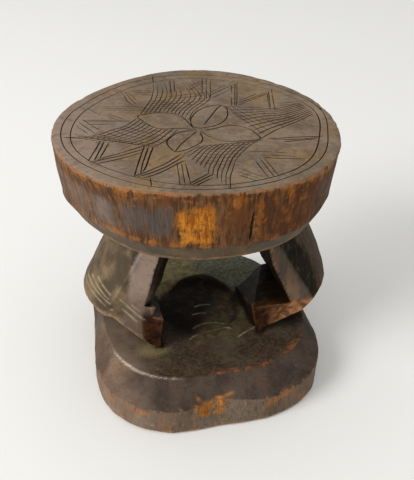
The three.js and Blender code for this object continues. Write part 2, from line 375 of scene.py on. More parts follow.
def gouge_marks(points, size, seed, stretch=(1, 1, 1)):
    """Shallow scallops: each cell around a random seed is a bowl, deepest in its middle, so the
    depth is 1 minus the squared distance over the squared cell size. Seeds far from the surface
    are left out."""
    rng = np.random.default_rng(seed)
    scale = np.array(stretch, float)
    low, high = points.min(0), points.max(0)
    count = int(np.prod((high - low) / size / scale)) + 8
    seeds = rng.uniform(low, high, (count, 3)) / scale
    near = points / scale
    sample = near[:: max(1, len(near) // 3000)]
    seeds = seeds[nearest_distance(seeds, sample) < 1.2 * size]
    return np.clip(1 - (nearest_distance(near, seeds) / size) ** 2, 0, 1)


points, normals = read_points(lower), read_normals(lower)
height = -0.4 * gouge_marks(points, 11.0, 5) + 0.35 * waves(points, 38, 6) + 0.12 * waves(points, 13, 7)
DISH_X, DISH_Y, DISH_DEPTH = -7, 4, 4.6
on_base_top = (normals[:, 2] > 0.5) & (points[:, 2] > 47) & (points[:, 2] < 56)
dish = on_base_top * step_down(np.hypot(points[:, 0] - DISH_X, points[:, 1] - DISH_Y), 40, 52)
points = points + normals * (height * (1 + 0.9 * dish))[:, None]
points[:, 2] -= DISH_DEPTH * dish
points[:, 2] = np.where(points[:, 2] < 3, np.maximum(points[:, 2], 0.02), points[:, 2])
write_points(lower, points)
print("dish", round(float((dish > 0.5).sum() / len(dish)), 3), "of the points")

# %% [markdown]
# The seat is a stack of rings too: the underside, the slope, the wall and the rounded edge. Its
# outline is hand cut, a circle with a few slow waves, which a turned or drawn circle can't give. The
# top is left open for the incised face. Extra columns stand close together where the wall has split.

# %% Seat
CRACK = -82.6
EDGE_IN = 2.3


def seat_outline(angle):
    """The seat's radius: a circle plus waves of one, two, three and five to the turn."""
    return SEAT_RADIUS + 1.9 * np.cos(angle - 82 * DEG) + 2.4 * np.cos(2 * (angle - 81 * DEG)) \
        + 3.9 * np.cos(3 * (angle + 46 * DEG)) + 1.3 * np.cos(5 * (angle - 11 * DEG))


def seat_swell(angle):
    """How much further out than its taper the wall's lower edge stands."""
    return 4 * hump(angle, -105, 25) - 3.5 * hump(angle, -150, 16) + 5 * hump(angle, 180, 18) \
        + 8 * hump(angle, -8, 22) + 4 * hump(angle, 90, 70)


def seat_columns():
    """Even angles round the seat, with nine close ones in place of those near the crack."""
    even = np.linspace(-180, 180, 336, endpoint=False)
    even = even[np.abs(even - CRACK) > 1.6]
    close = CRACK + np.array([-1.3, -0.7, -0.42, -0.2, 0, 0.2, 0.42, 0.7, 1.3])
    return np.sort(np.concatenate([even, close])) * DEG


def seat_rings(angle):
    """Rings from the middle of the underside out and up to the edge of the top."""
    foot = SEAT_RADIUS - WALL_TAPER
    under = [(p * (SLOPE_RADIUS - 3), UNDERSIDE) for p in (0.12, 0.25, 0.4, 0.55, 0.7, 0.8, 0.9, 0.96, 1)]
    slope = [(SLOPE_RADIUS + (foot - 1 - SLOPE_RADIUS) * t, UNDERSIDE + 1.5 + (SEAT_SLOPE - 4.0) * t)
             for t in np.linspace(0, 1, 8)]
    wall = [(SEAT_RADIUS - WALL_TAPER * (1 - t), WALL_FOOT + 2.5 + (SEAT_WALL - 5.5) * t)
            for t in np.linspace(0, 1, 20)]
    edge = [(SEAT_RADIUS - 0.25, HEIGHT - 1.6), (SEAT_RADIUS - 0.9, HEIGHT - 0.7),
            (SEAT_RADIUS - EDGE_IN, HEIGHT - 0.15)]
    rows = []
    for radius, z in under + slope + [(foot, WALL_FOOT)] + wall + edge:
        swell = seat_swell(angle) * min(1, (HEIGHT - z) / SEAT_WALL)
        r = radius * (seat_outline(angle) + swell) / SEAT_RADIUS
        rows.append(np.stack([SEAT_X + r * np.cos(angle), SEAT_Y + r * np.sin(angle),
                              np.full(len(r), float(z))], 1))
    return np.array(rows)


seat_angle = seat_columns()
rings = seat_rings(seat_angle)
rows, columns, _ = rings.shape
print("seat rings", rows, columns)

# %% [markdown]
# Years of knocks have bitten small pieces out of the upper edge, and the wall has one upright crack.
# The bites are bells along the edge: seven are listed where they show, the rest are random.
# The crack pushes its few columns inwards, so no Boolean is needed.

# %% Bites and crack
chip_rng = np.random.default_rng(8)
chips = [(-68, 2.4, 2.2), (-60, 1.6, 1.6), (-52, 2.0, 2.0), (CRACK, 1.2, 1.6), (-101, 1.4, 1.2),
         (-118, 2.0, 1.4), (-150, 3.0, 1.4)]
chips += chip_rng.uniform((-180, 0.8, 0.4), (180, 2.4, 1.5), (46, 3)).tolist()
bite = np.max([deep * hump(seat_angle, middle, half) for middle, half, deep in chips], axis=0)
inward = -np.stack([np.cos(seat_angle), np.sin(seat_angle), np.zeros(columns)], 1)
for row, share in ((-1, 1.0), (-2, 1.0), (-3, 0.8), (-4, 0.35)):
    rings[row] += inward * (bite * share)[:, None]

spots = rings.reshape(-1, 3)
height = spots[:, 2]
out = (spots - [SEAT_X, SEAT_Y, 0]) * [1, 1, 0]
turn = np.arctan2(out[:, 1], out[:, 0])
out /= np.linalg.norm(out, axis=1, keepdims=True)
push = -0.5 * gouge_marks(spots, 15.0, 11, (1, 1, 1.6)) + 0.5 * waves(spots, 45, 12) - 0.3
crack_width = 0.6 * step_up(height, 222, 228) * step_down(height, 247, 253)
crack_width += 0.2 * step_up(height, 250, 255)
off_crack = np.abs(turn / DEG - CRACK - 0.12 * np.sin(height / 4.0))
crack = np.clip(1 - off_crack / np.maximum(crack_width, 0.01), 0, 1)
push = push - np.where(height > 253, 0.8, 5.0) * crack
on_wall = step_up(height, 196, 206) * step_down(height, 268, 275)
rings = (spots + out * (push * on_wall)[:, None]).reshape(rows, columns, 3)
seat = stacked("seat", rings, cap_top=False)
print("deepest bite", round(float(bite.max()), 2), "mm, crack in", int((crack > 0).sum()), "points")

# %% [markdown]
# The top is incised. A knife or gouge cuts each line as a narrow V, so every line is three chains of
# points: both edges at the surface and the bottom between them. A triangulation that keeps those
# chains as edges gives crisp grooves with few faces, where an even grid would need millions. First
# come the lines themselves, as smooth curves through a few corners.

# %% Curves of the pattern
PATTERN_MIDDLE = np.array([-3.0, -5.5])


def smooth_line(corners, step=2.6):
    """A Catmull-Rom curve through the corners, with points about one step apart."""
    p = np.array(corners, float)
    if len(p) == 2:
        n = max(2, int(np.linalg.norm(p[1] - p[0]) / step) + 1)
        return p[0] + (p[1] - p[0]) * np.linspace(0, 1, n)[:, None]
    ends = np.vstack([2 * p[0] - p[1], p, 2 * p[-1] - p[-2]])
    parts = []
    for a, b, c, d in zip(ends[:-3], ends[1:-2], ends[2:-1], ends[3:]):
        n = max(2, int(np.linalg.norm(c - b) / step) + 1)
        t = np.linspace(0, 1, n, endpoint=False)[:, None]
        parts.append(0.5 * (2 * b + (c - a) * t + (2 * a - 5 * b + 4 * c - d) * t ** 2
                            + (3 * b - a - 3 * c + d) * t ** 3))
    return np.vstack(parts + [p[-1:]])


def ring_line(radii):
    """A closed ring from its radius at even steps of angle, joined by a smooth sum of waves."""
    k = np.fft.rfft(radii) / len(radii)
    a = np.linspace(0, 2 * np.pi, 331)
    r = k[0].real + 2 * sum((k[i] * np.exp(1j * i * a)).real for i in range(1, len(k) - 1))
    r = r + (k[-1] * np.exp(1j * (len(k) - 1) * a)).real
    return PATTERN_MIDDLE + np.stack([r * np.cos(a), r * np.sin(a)], 1)


def along_curve(curve, where):
    """The points of a curve at shares of its way, given for even steps from 0 to 1."""
    return np.stack([np.interp(where, np.linspace(0, 1, len(curve)), curve[:, i]) for i in (0, 1)], 1)


def fan(first, last, count, crossings):
    """Curves that change evenly from the first to the last, and lines that cross them, each from a
    share of the first curve to a share of the last."""
    t = np.linspace(0, 1, 60)
    first, last = (along_curve(smooth_line(c, 1.0), t) for c in (first, last))
    knots = np.linspace(0, len(t) - 1, 11).astype(int)
    along = [smooth_line(first[knots] + (last - first)[knots] * k) for k in np.linspace(0, 1, count)]
    across = []
    for start, end in crossings:
        k = np.linspace(0, 1, 9)
        where = start + (end - start) * k
        low, high = along_curve(first, where), along_curve(last, where)
        across.append(smooth_line(low + (high - low) * k[:, None]))
    return along, across


def run_on(*lines, longer=2.5):
    """Smooth lines whose ends run on a little, as a knife's do."""
    made = []
    for line in lines:
        p = np.array(line, float)
        first, last = p[0] - p[1], p[-1] - p[-2]
        p[0] += first / np.linalg.norm(first) * longer
        p[-1] += last / np.linalg.norm(last) * longer
        made.append(smooth_line(p))
    return made


print("curves ready")

# %% [markdown]
# The pattern: four petals from the middle, a fan of curved lines between each two petals, three-line
# zigzags and faint bands in the gaps, and two rings near the edge. All its corners are in the
# frame's own millimetres, seen from above. They are listed one by one, as the carver drew his by hand.

# %% Petals and rings
petals = {
    "upper right": [
        (-8.5, 0), (-6, 9), (-1, 17), (5, 25), (13, 31), (22, 34), (30, 32.5), (33, 24), (31.5, 13), (28, 3),
        (22, -6), (14, -12.5), (5, -15), (-4, -15.5), (-8.5, -9), (-8.5, 0)],
    "left": [
        (-9, -15), (-11, 0), (-14, 12), (-20, 20), (-28, 25), (-38, 27.5), (-47, 26), (-55.5, 23.5),
        (-53, 12), (-48, 1), (-40, -9), (-30, -11), (-20, -13), (-9, -18)],
    "right": [
        (0, -21), (8, -20), (15, -18), (24, -16), (33, -19), (40, -26), (44, -35), (45, -49.5), (30, -50),
        (18, -49), (10, -46), (5, -41), (0, -33), (-4, -23)],
    "lower left": [
        (-10, -20), (-18, -20), (-26, -22), (-32, -28), (-37, -34), (-39, -41), (-38, -50), (-34.5, -59),
        (-27, -58), (-18, -53), (-10, -47), (-7, -42), (-5.5, -36), (-5, -25)]}
petal_shapes = [smooth_line(p) for p in petals.values()]
petal_veins = run_on([(4, -7), (8, 0), (13, 8), (20, 19), (25, 27), (29, 31)],
                     [(-9, -24), (-15, -31), (-22, -39), (-29, -48), (-34, -57)])
edge_rings = [
    ring_line([126, 126, 126.5, 128, 130, 128.6, 124.2, 121.5, 124.6,
               126.9, 127.3, 125.5, 125.8, 125.2, 127, 128.1, 125.6, 121.8]),
    ring_line([119, 118, 115, 116, 119, 117.6, 113.2, 111.8, 114.6,
               118.4, 119.7, 116.6, 116.2, 117.9, 119.6, 121.4, 117.2, 114.6])]

# %% Fans
fans = {
    "left": fan(
        [(-58, 17), (-70, 3), (-84, -4), (-100, -11), (-127, -9.5)],
        [(-24, -15), (-33, -27), (-41, -37), (-48, -43), (-52, -46)], 11,
        [(0.06, 0.14), (0.15, 0.28), (0.24, 0.42), (0.33, 0.56), (0.42, 0.7), (0.51, 0.84), (0.6, 0.96),
         (0.7, 1.0), (0.8, 1.0)]),
    "top": fan(
        [(-52, 28), (-43, 47), (-36, 62), (-30, 84), (-27, 100), (-25, 118)],
        [(-9, 4), (-3, 19), (8, 34), (20, 46), (25, 62), (22, 82), (20, 102)], 13,
        [(0.0, 0.16), (0.05, 0.24), (0.1, 0.32), (0.15, 0.4), (0.21, 0.48), (0.27, 0.56), (0.34, 0.64),
         (0.42, 0.7)]),
    "right": fan(
        [(33, 28), (45, 25), (61, 20), (75, 14), (85, 14), (97, 17), (110, 21)],
        [(46, -49), (58, -40), (72, -30.5), (85, -24), (97, -17.5), (108, -10), (114, -6)], 10,
        [(0.0, 0.1), (0.02, 0.22), (0.08, 0.33), (0.15, 0.44), (0.22, 0.55), (0.3, 0.64), (0.38, 0.72)]),
    "bottom": fan(
        [(-12, -52), (-18, -57), (-24, -62), (-29, -65)],
        [(47, -52), (37.5, -55.5), (28, -65), (20, -74), (12.5, -85), (5, -101), (-1, -115), (-5, -132)], 12,
        [(0.1, 0.08), (0.22, 0.15), (0.34, 0.22), (0.46, 0.29), (0.58, 0.36), (0.7, 0.43), (0.84, 0.5),
         (0.97, 0.57)])}

# %% Zigzags and faint bands
zigzags = run_on(
    [(-97, -26), (-103, -42), (-109, -57)], [(-94, -28), (-99, -43), (-104, -57)],
    [(-90, -31), (-95, -44), (-99, -54)],
    [(-99, -57), (-83, -51), (-62, -43)], [(-107, -62), (-84, -56), (-60, -48)],
    [(-101, -66), (-86, -62), (-66, -55)],
    [(-60, -44), (-66, -62), (-71, -78), (-75, -91)], [(-57, -47), (-62, -62), (-67, -78), (-70, -90)],
    [(-53, -48), (-59, -65), (-64, -80), (-67, -86)],
    [(-75, -94), (-58, -85), (-45, -77), (-33, -66)], [(-71, -95), (-55, -88), (-42, -80), (-32, -71)],
    [(-67, -98), (-55, -93), (-43, -85), (-33, -78)],
    [(-33, -115), (-17, -104)], [(-31, -117), (-16, -107.5)], [(-28, -119), (-18, -113)],
    [(55, -52), (66, -56), (80, -58), (97, -59)], [(57, -51), (70, -53), (84, -54), (99, -57)],
    [(66, -60), (76, -60.5), (92, -61)])
faint = run_on(
    [(-38, -82), (-40, -98), (-42.5, -115)], [(-34.5, -84), (-36.5, -100), (-38.5, -116)],
    [(-31, -84), (-32.5, -100), (-34, -117)],
    [(84, -28), (91, -40)], [(88, -24), (93, -33)], [(93, -20), (99, -32)],
    [(30, -72), (44, -76), (58, -81)], [(37, -81), (50, -85), (63, -89)], [(38, -86), (52, -91), (69, -95)],
    [(33, -88), (34, -104), (35, -118)], [(28, -94), (29, -106), (30, -119)],
    [(37, -91), (38, -104), (39, -117)],
    [(9, -106), (22, -120)], [(8, -111), (17, -121)], [(12, -102), (27, -119)],
    [(-63, 88), (-61, 75), (-60, 62), (-57, 53)], [(-59, 88), (-57, 74), (-55, 63), (-53, 54)],
    [(-56, 85), (-53, 73), (-51, 63)],
    [(-88, 54), (-45, 44)], [(-86, 49), (-46, 40)], [(-87, 45), (-50, 37)],
    [(-107, 24), (-67, 16)], [(-105, 20), (-67, 13)], [(-103, 14), (-80, 9)],
    [(-111, 20), (-106, 8), (-100, -5)], [(-107, 25), (-100, 10), (-95, 0)], [(-114, 12), (-107, -3)],
    [(-100, 51), (-93, 38)], [(-80, 32), (-70, 20)], [(-82, 27), (-73, 16)],
    [(-50, 88), (-32, 84)], [(-50, 83), (-33, 79)], [(-45, 77), (-33, 73)],
    [(28, 106), (23, 86), (19, 68), (15, 54)], [(32, 104), (27, 84), (23, 66), (20, 53)],
    [(36, 102), (31, 82), (27, 64), (24, 54)],
    [(28, 55), (40, 64), (54, 76)], [(25, 60), (37, 70), (51, 79)], [(27, 67), (38, 76), (48, 83)],
    [(63, 90), (57, 70), (50, 45), (45, 30)], [(59, 84), (53, 64), (47, 42), (43, 30)],
    [(54, 80), (48, 60), (43, 40), (40, 30)],
    [(49, 30), (66, 41), (85, 52)], [(50, 35), (65, 44), (81, 53)], [(52, 41), (60, 46), (69, 51)],
    [(92, 60), (88, 45), (83, 25), (80, 12)], [(87, 55), (83, 40), (78, 22), (75, 12)],
    [(84, 50), (79, 30), (76, 18)],
    [(88, 20), (104, 21)], [(92, 25), (108, 26)], [(12, 90), (25, 100)], [(8, 80), (22, 92)],
    [(-8, 108), (-10, 92), (-14, 74)], [(-3, 108), (-6, 92), (-8, 80)], [(-64, -100), (-65, -113)],
    [(-25, 112), (-24, 124)], [(-6, -131), (-7, -137)], [(-128, -9.5), (-120, -11)])
print(len(zigzags), "zigzag lines,", len(faint), "faint lines")

# %% [markdown]
# Lines that would run on into a petal stop at its edge, as they do on the stool. Each line then gets
# a width and a depth; its ends run out to nothing, and its depth wavers as the hand's push did.

# %% Widths and depths
def in_outline(points, outline):
    """Whether points lie inside a closed outline, by counting the edges crossed to their right."""
    x, y = points[:, 0][:, None], points[:, 1][:, None]
    a = outline[None]
    way = (np.roll(outline, -1, 0) - outline)[None]
    meets = (a[..., 1] > y) != (np.roll(outline, -1, 0)[None, :, 1] > y)
    at = a[..., 0] + (y - a[..., 1]) * way[..., 0] / np.where(way[..., 1] == 0, 1e-9, way[..., 1])
    return ((meets & (x < at)).sum(1) % 2).astype(bool)


def outside_petals(lines):
    """The stretches of lines that lie in none of the petals."""
    parts = []
    for line in lines:
        keep = ~np.any([in_outline(line, petal) for petal in petal_shapes], axis=0)
        cuts = np.flatnonzero(np.diff(keep.astype(int)) != 0) + 1
        pieces = zip(np.split(line, cuts), np.split(keep, cuts))
        parts += [piece for piece, kept in pieces if kept[0] and len(piece) > 2]
    return parts


rng = np.random.default_rng(3)
grooves = []


def add_grooves(lines, width, depth, loose=0.25, run_out=0.0):
    """Gives lines a width and a depth. Cuts that run from side to side are broader, and a line can
    grow fainter towards its end."""
    for line in lines:
        n = len(line)
        way = np.gradient(line, axis=0)
        sideways = np.abs(way[:, 0]) / np.maximum(np.linalg.norm(way, axis=1), 1e-9)
        t = np.linspace(0, 1, n)
        fade = 0.55 + 0.45 * np.minimum(1, np.minimum(t, 1 - t) * n / 1.5)
        press = 1 + loose * np.interp(t, np.linspace(0, 1, 5), rng.normal(size=5))
        press = press * (1 - run_out * np.clip(1.6 * t - 0.5, 0, 1))
        broad_cut = 1 + 0.35 * step_up(sideways, 0.75, 1.0)
        widths = width * broad_cut * np.clip(fade * (0.7 + 0.3 * press), 0.2, 1.6)
        grooves.append((line, widths, depth * np.clip(fade * press, 0.15, 1.6)))


add_grooves(edge_rings, 1.35, 0.8, 0.12)
add_grooves(petal_shapes + petal_veins, 1.6, 0.95, 0.15)
add_grooves(zigzags, 1.6, 0.9)
add_grooves(faint, 1.4, 0.5)
strengths = {"left": (1.0, 0.1), "top": (0.9, 0.75), "right": (1.0, 0.1), "bottom": (0.85, 0.1)}
for name, (strong, run_out) in strengths.items():
    along, across = fans[name]
    add_grooves(outside_petals(along), 1.4 * strong, 0.8 * strong, 0.25, run_out)
    add_grooves(outside_petals(across), 1.25 * strong, 0.6 * strong)
length = sum(np.linalg.norm(np.diff(line, axis=0), axis=1).sum() for line, _, _ in grooves)
print(len(grooves), "grooves,", round(length / 1000, 2), "m of line")

# %% [markdown]
# The flat face is made of three things: the seat's own edge, loose points that fill the plain parts,
# and the chains of the grooves. A constrained Delaunay triangulation joins them all and keeps every
# chain as edges. Its outer points are the seat's own, so the face closes the seat without a gap.

# %% Triangulate the top
def drawn_in(outline, share):
    """An outline brought nearer to the pattern's middle."""
    return PATTERN_MIDDLE + (outline - PATTERN_MIDDLE) * share


edge_ring = rings[-1][:, :2] + MOVE[:2]
gap = 4.8
grid_x, grid_y = np.meshgrid(np.arange(-140, 140, gap), np.arange(-142, 142, gap))
scatter = np.stack([grid_x.ravel(), grid_y.ravel()], 1) + rng.uniform(-1, 1, (grid_x.size, 2))
scatter = scatter[in_outline(scatter, drawn_in(edge_ring, 0.975))]
safe = drawn_in(edge_ring, 0.985)
round_edge = np.arange(columns)
flat_points, flat_edges = [edge_ring, scatter], [np.stack([round_edge, (round_edge + 1) % columns], 1)]
total = columns + len(scatter)
for line, width, _ in grooves:
    way = np.gradient(line, axis=0)
    side = np.stack([-way[:, 1], way[:, 0]], 1)
    side /= np.maximum(np.linalg.norm(way, axis=1, keepdims=True), 1e-9)
    for shift in (0, 0.5, -0.5):
        chain = line + side * (width * shift)[:, None]
        good = in_outline(chain, safe)
        index = np.arange(len(chain)) + total
        flat_points.append(chain)
        flat_edges.append(np.stack([index[:-1], index[1:]], 1)[good[:-1] & good[1:]])
        total += len(chain)
flat_points, flat_edges = np.vstack(flat_points), np.vstack(flat_edges)
used = np.unique(np.concatenate([np.arange(columns + len(scatter)), flat_edges.ravel()]))
renumber = np.full(total, -1)
renumber[used] = np.arange(len(used))
corners = [Vector(p) for p in flat_points[used].tolist()]
result = delaunay_2d_cdt(corners, renumber[flat_edges].tolist(), [], 1, 1e-4)
top_points, top_faces = np.array([v[:] for v in result[0]]), result[2]
print("top", len(top_points), "points", len(top_faces), "triangles")

# %% Close the seat
n = len(seat.data.vertices)
lifted = np.column_stack([top_points - MOVE[:2], np.full(len(top_points), HEIGHT - 0.15)])
faces = [list(p.vertices) for p in seat.data.polygons] + [[v + n for v in f] for f in top_faces]
points = np.vstack([read_points(seat), lifted])
bpy.data.objects.remove(seat, do_unlink=True)
seat = mesh_object("seat", points, faces)
with opened(seat) as work:
    bmesh.ops.remove_doubles(work, verts=work.verts, dist=2e-5)
    open_edges = sum(e.is_boundary for e in work.edges)
    odd_edges = sum(not e.is_manifold for e in work.edges)
    bmesh.ops.recalc_face_normals(work, faces=work.faces)
print("seat closed:", open_edges, "open edges,", odd_edges, "odd edges")

# %% One body
combine(seat, lower, "UNION", "MANIFOLD")
stool = seat
stool.name = "carved_stool"
stool.data.name = "carved_stool"
print("stool", len(stool.data.vertices), "points", len(stool.data.polygons), "faces")

# %% [markdown]
# The grooves are pressed in now: each point of the top sinks by the deepest groove that it lies in.
# Because the chains are edges already, the V's come out clean. The whole face also sways by a few
# tenths of a millimetre and falls a little less at the rim, as a face does that was cut by eye.

# %% Press the grooves
line_start = np.vstack([line[:-1] for line, _, _ in grooves])
line_way = np.vstack([np.diff(line, axis=0) for line, _, _ in grooves])
half_start, deep_start = (np.concatenate([g[i][:-1] for g in grooves]) for i in (1, 2))
half_more, deep_more = (np.concatenate([np.diff(g[i]) for g in grooves]) for i in (1, 2))


def groove_depth(spots):
    """For each spot, the deepest V over it: the groove's depth times 1 minus the distance from its
    middle over half its width."""
    depth = np.zeros(len(spots))
    size = np.maximum((line_way ** 2).sum(1), 1e-9)
    for i in range(0, len(spots), 1024):
        gap = spots[i:i + 1024, None, :] - line_start[None]
        t = np.clip((gap * line_way).sum(-1) / size, 0, 1)
        off = np.sqrt(((gap - t[..., None] * line_way) ** 2).sum(-1))
        half = (half_start + half_more * t) / 2
        depth[i:i + 1024] = np.max((deep_start + deep_more * t) * np.clip(1 - off / half, 0, 1), axis=1)
    return depth


points = read_points(stool)
on_top = points[:, 2] > HEIGHT - 0.2
spots = points[on_top][:, :2] + MOVE[:2]
depth = groove_depth(spots)
from_middle, edge_from_middle = spots - PATTERN_MIDDLE, edge_ring - PATTERN_MIDDLE
edge_reach = np.interp(np.arctan2(*from_middle.T[::-1]), seat_angle, np.hypot(*edge_from_middle.T))
rim_fall = step_up(np.hypot(*from_middle.T) / edge_reach, 0.9, 1.0)
level = np.column_stack([spots, np.zeros(len(spots))])
sway = 0.22 * waves(level, 46, 21) + 0.10 * waves(level, 17, 22)
points[on_top, 2] += (np.minimum(sway, 0.5) - 0.75) * (1 - rim_fall * 0.7) - depth
write_points(stool, points)
print("deepest groove", round(float(depth.max()), 2), "mm")

# %% [markdown]
# A few long marks run over the lower body: shallow curved grooves along the left wing's bend, arcs
# in the base and gouges on its wall. The faces near them are split first, because a mark is narrower
# than a face; then each point near a mark sinks and takes the mark's pale dust. Splitting only there
# keeps the rest of the mesh light.

# %% Long marks
wing_marks = [
    [(-127, 12, 109), (-126.6, 7.8, 109.6), (-124.1, -13.9, 111), (-119.5, -30, 111), (-113, -43.2, 110),
     (-106.1, -50.2, 107)],
    [(-124.4, 8, 115.2), (-123.4, -9.6, 116.6), (-119.8, -25, 116.1), (-114.2, -38.7, 115.5),
     (-107.5, -48.8, 113.8)],
    [(-120.5, -6.5, 121.8), (-118, -22, 121.5), (-114.3, -33.3, 119.3), (-108.8, -45, 117.3)],
    [(-115.3, -20.5, 127.6), (-111.8, -32.4, 124.6), (-106.4, -44.9, 121.9)],
    [(-97.6, -51.4, 119.1), (-90.4, -52.7, 109.9), (-83.1, -54.9, 101.2), (-75.7, -56.2, 93.2)],
    [(-96.4, -51.8, 107.7), (-89.1, -53.8, 98.8), (-83.8, -55.8, 92.1)],
    [(-86.5, -53.7, 111.6), (-80.2, -56, 104.5)]]
floor_marks = [
    [(-26.9, -49.8, 0), (-18, -44.4, 0), (-8.5, -38.5, 0), (-0.3, -37.1, 0), (7.4, -38, 0),
     (19.4, -42.6, 0)],
    [(-8.6, 6.7, 0), (0, 8, 0), (9, 6.3, 0)], [(-14, -6.4, 0), (-7, -5.5, 0), (0, -7.8, 0)],
    [(-18, -28, 0), (-6, -24, 0), (6, -24, 0), (16, -27, 0)], [(24, -58, 0), (36, -51, 0), (48, -47, 0)]]
gold_marks = [
    [(-36, -119, 36.5), (-30, -122, 31), (-22, -121, 30), (-15, -120, 33), (-9, -119, 31), (1, -118, 34),
     (10, -116.5, 33), (22, -116, 34)],
    [(-30, -123, 27), (-24, -122, 22), (-21, -122, 15)], [(-12, -121, 29), (-10, -121, 20)],
    [(-37, -124, 30), (-41, -126, 20), (-40, -127, 10)]]


def marks_in_steps(lines, curved, step=1.5):
    """The steps along the marks, as start points and ways. A curved mark is a cubic through its
    corners by least squares; the others run straight from corner to corner."""
    starts, ways = [], []
    for line in lines:
        p = np.array(line, float)
        length = np.concatenate([[0], np.cumsum(np.linalg.norm(np.diff(p, axis=0), axis=1))])
        t = np.linspace(0, length[-1], max(3, int(length[-1] / step)))
        if curved:
            fits = [np.polyfit(length, p[:, i], min(3, len(p) - 1)) for i in range(3)]
            curve = np.stack([np.polyval(fit, t) for fit in fits], 1)
        else:
            curve = np.stack([np.interp(t, length, p[:, i]) for i in range(3)], 1)
        starts.append(curve[:-1])
        ways.append(np.diff(curve, axis=0))
    return np.vstack(starts), np.vstack(ways)


def mark_distance(spots, lines):
    """Each spot's distance to the nearest of the marks. Those of the floor are taken in plan."""
    starts, way = marks_in_steps(lines, curved=lines is not gold_marks)
    if lines is floor_marks:
        low = (spots[:, 2] > 42) & (spots[:, 2] < 53)
        spots = np.where(low[:, None], spots * [1, 1, 0], 1e4)
    best = np.full(len(spots), 1e9)
    for i in range(0, len(spots), 4096):
        gap = spots[i:i + 4096, None, :] - starts[None]
        t = np.clip((gap * way).sum(-1) / (way ** 2).sum(-1), 0, 1)
        best[i:i + 4096] = np.sqrt(((gap - t[..., None] * way) ** 2).sum(-1)).min(1)
    return best


for reach in (3.2, 2.0):
    points = read_points(stool)
    gaps = [mark_distance(points, lines) for lines in (wing_marks, floor_marks, gold_marks)]
    near = np.min(gaps, axis=0) < reach
    with opened(stool) as work:
        work.verts.ensure_lookup_table()
        close = [f for f in work.faces if any(near[v.index] for v in f.verts)]
        split = list({e for f in close for e in f.edges})
        bmesh.ops.subdivide_edges(work, edges=split, cuts=1, use_grid_fill=True)
        bmesh.ops.triangulate(work, faces=[f for f in work.faces if len(f.verts) > 4])
print("with split faces", len(stool.data.vertices), "points")

# %% Press the marks
points, normals = read_points(stool), read_normals(stool)
masks = {"mark": np.zeros(len(points))}
for lines, width, deep, pale in ((wing_marks, 1.4, 0.45, 0.75), (floor_marks, 1.2, 0.25, 0.6),
                                 (gold_marks, 1.6, 0.5, 0)):
    gap = mark_distance(points, lines)
    points = points - normals * (deep * bell(gap, 0, width))[:, None]
    masks["mark"] = np.maximum(masks["mark"], pale * bell(gap, 0, 1.0))
masks["gold"] = bell(gap, 0, 1.8)
write_points(stool, points)
masks["groove"] = np.zeros(len(points))
on_top = points[:, 2] > HEIGHT - 2.6
masks["groove"][on_top] = np.clip(groove_depth(points[on_top][:, :2] + MOVE[:2]) / 0.75, 0, 1.3)
print("points in marks", int((masks["mark"] > 0.3).sum()),
      "and in grooves", int((masks["groove"] > 0.3).sum()))

# %% [markdown]
# The wood is dark with handling, smoke and dust. What differs from place to place is written on the
# points as plain numbers, mostly between 0 and 1, and the finish reads them. They could be painted
# by hand, but a formula on the shape puts wear on what sticks out and dirt in what lies deep, as
# use does. The bend of the surface is how far a point stands out from its neighbours' mean.

# %% Wear and dirt from the shape
def neighbours_mean(edges, values):
    """The mean of each point's neighbours."""
    total = np.zeros_like(values)
    count = np.zeros(len(values))
    for a, b in ((0, 1), (1, 0)):
        np.add.at(total, edges[:, a], values[edges[:, b]])
        np.add.at(count, edges[:, a], 1)
    return total / np.maximum(count, 1).reshape([-1] + [1] * (values.ndim - 1))


def softened(edges, values, rounds):
    """Values after a few rounds of taking the neighbours' mean."""
    for _ in range(rounds):
        values = neighbours_mean(edges, values)
    return values


points, normals = read_points(stool), read_normals(stool)
x, y, z = points.T
edges = np.empty(len(stool.data.edges) * 2, np.int32)
stool.data.edges.foreach_get("vertices", edges)
edges = edges.reshape(-1, 2)
flat_normals = softened(edges, normals, 3)
flat_normals /= np.maximum(np.linalg.norm(flat_normals, axis=1, keepdims=True), 1e-9)
bend = softened(edges, ((points - softened(edges, points, 3)) * flat_normals).sum(1), 2)
masks["wear"], masks["hollow"] = step_up(bend, 0.16, 0.6), step_up(-bend, 0.06, 0.5)
print("worn share", round(float((masks["wear"] > 0.5).mean()), 3),
      "hollow share", round(float((masks["hollow"] > 0.5).mean()), 3))

# %% [markdown]
# The walls of the seat and the base were painted with patches by use: bare orange wood, blue-grey
# grime and red-brown old polish. Each patch is a box in angle and height with soft sides, so a table
# places it, and the finish breaks its border up later.

# %% Patches
seat_turn = np.arctan2(y - SEAT_Y, x - SEAT_X) / DEG
base_turn = np.arctan2(y, x + 5) / DEG
of_seat, of_lower = z > 196, z < 196


def patches(turn, table, soft_turn=5.0, soft_z=11.0):
    """The strongest of soft boxes, each (from angle, to angle, from z, to z, strength)."""
    total = np.zeros(len(turn))
    for from_turn, to_turn, from_z, to_z, strength in table:
        middle, half = (from_turn + to_turn) / 2, (to_turn - from_turn) / 2
        gap = np.abs((turn - middle + 180) % 360 - 180)
        wide = step_down(gap, half - soft_turn / 2, half + soft_turn / 2)
        above = step_up(z, from_z - soft_z / 2, from_z + soft_z / 2)
        below = step_down(z, to_z - soft_z / 2, to_z + soft_z / 2)
        total = np.maximum(total, strength * wide * above * below)
    return total


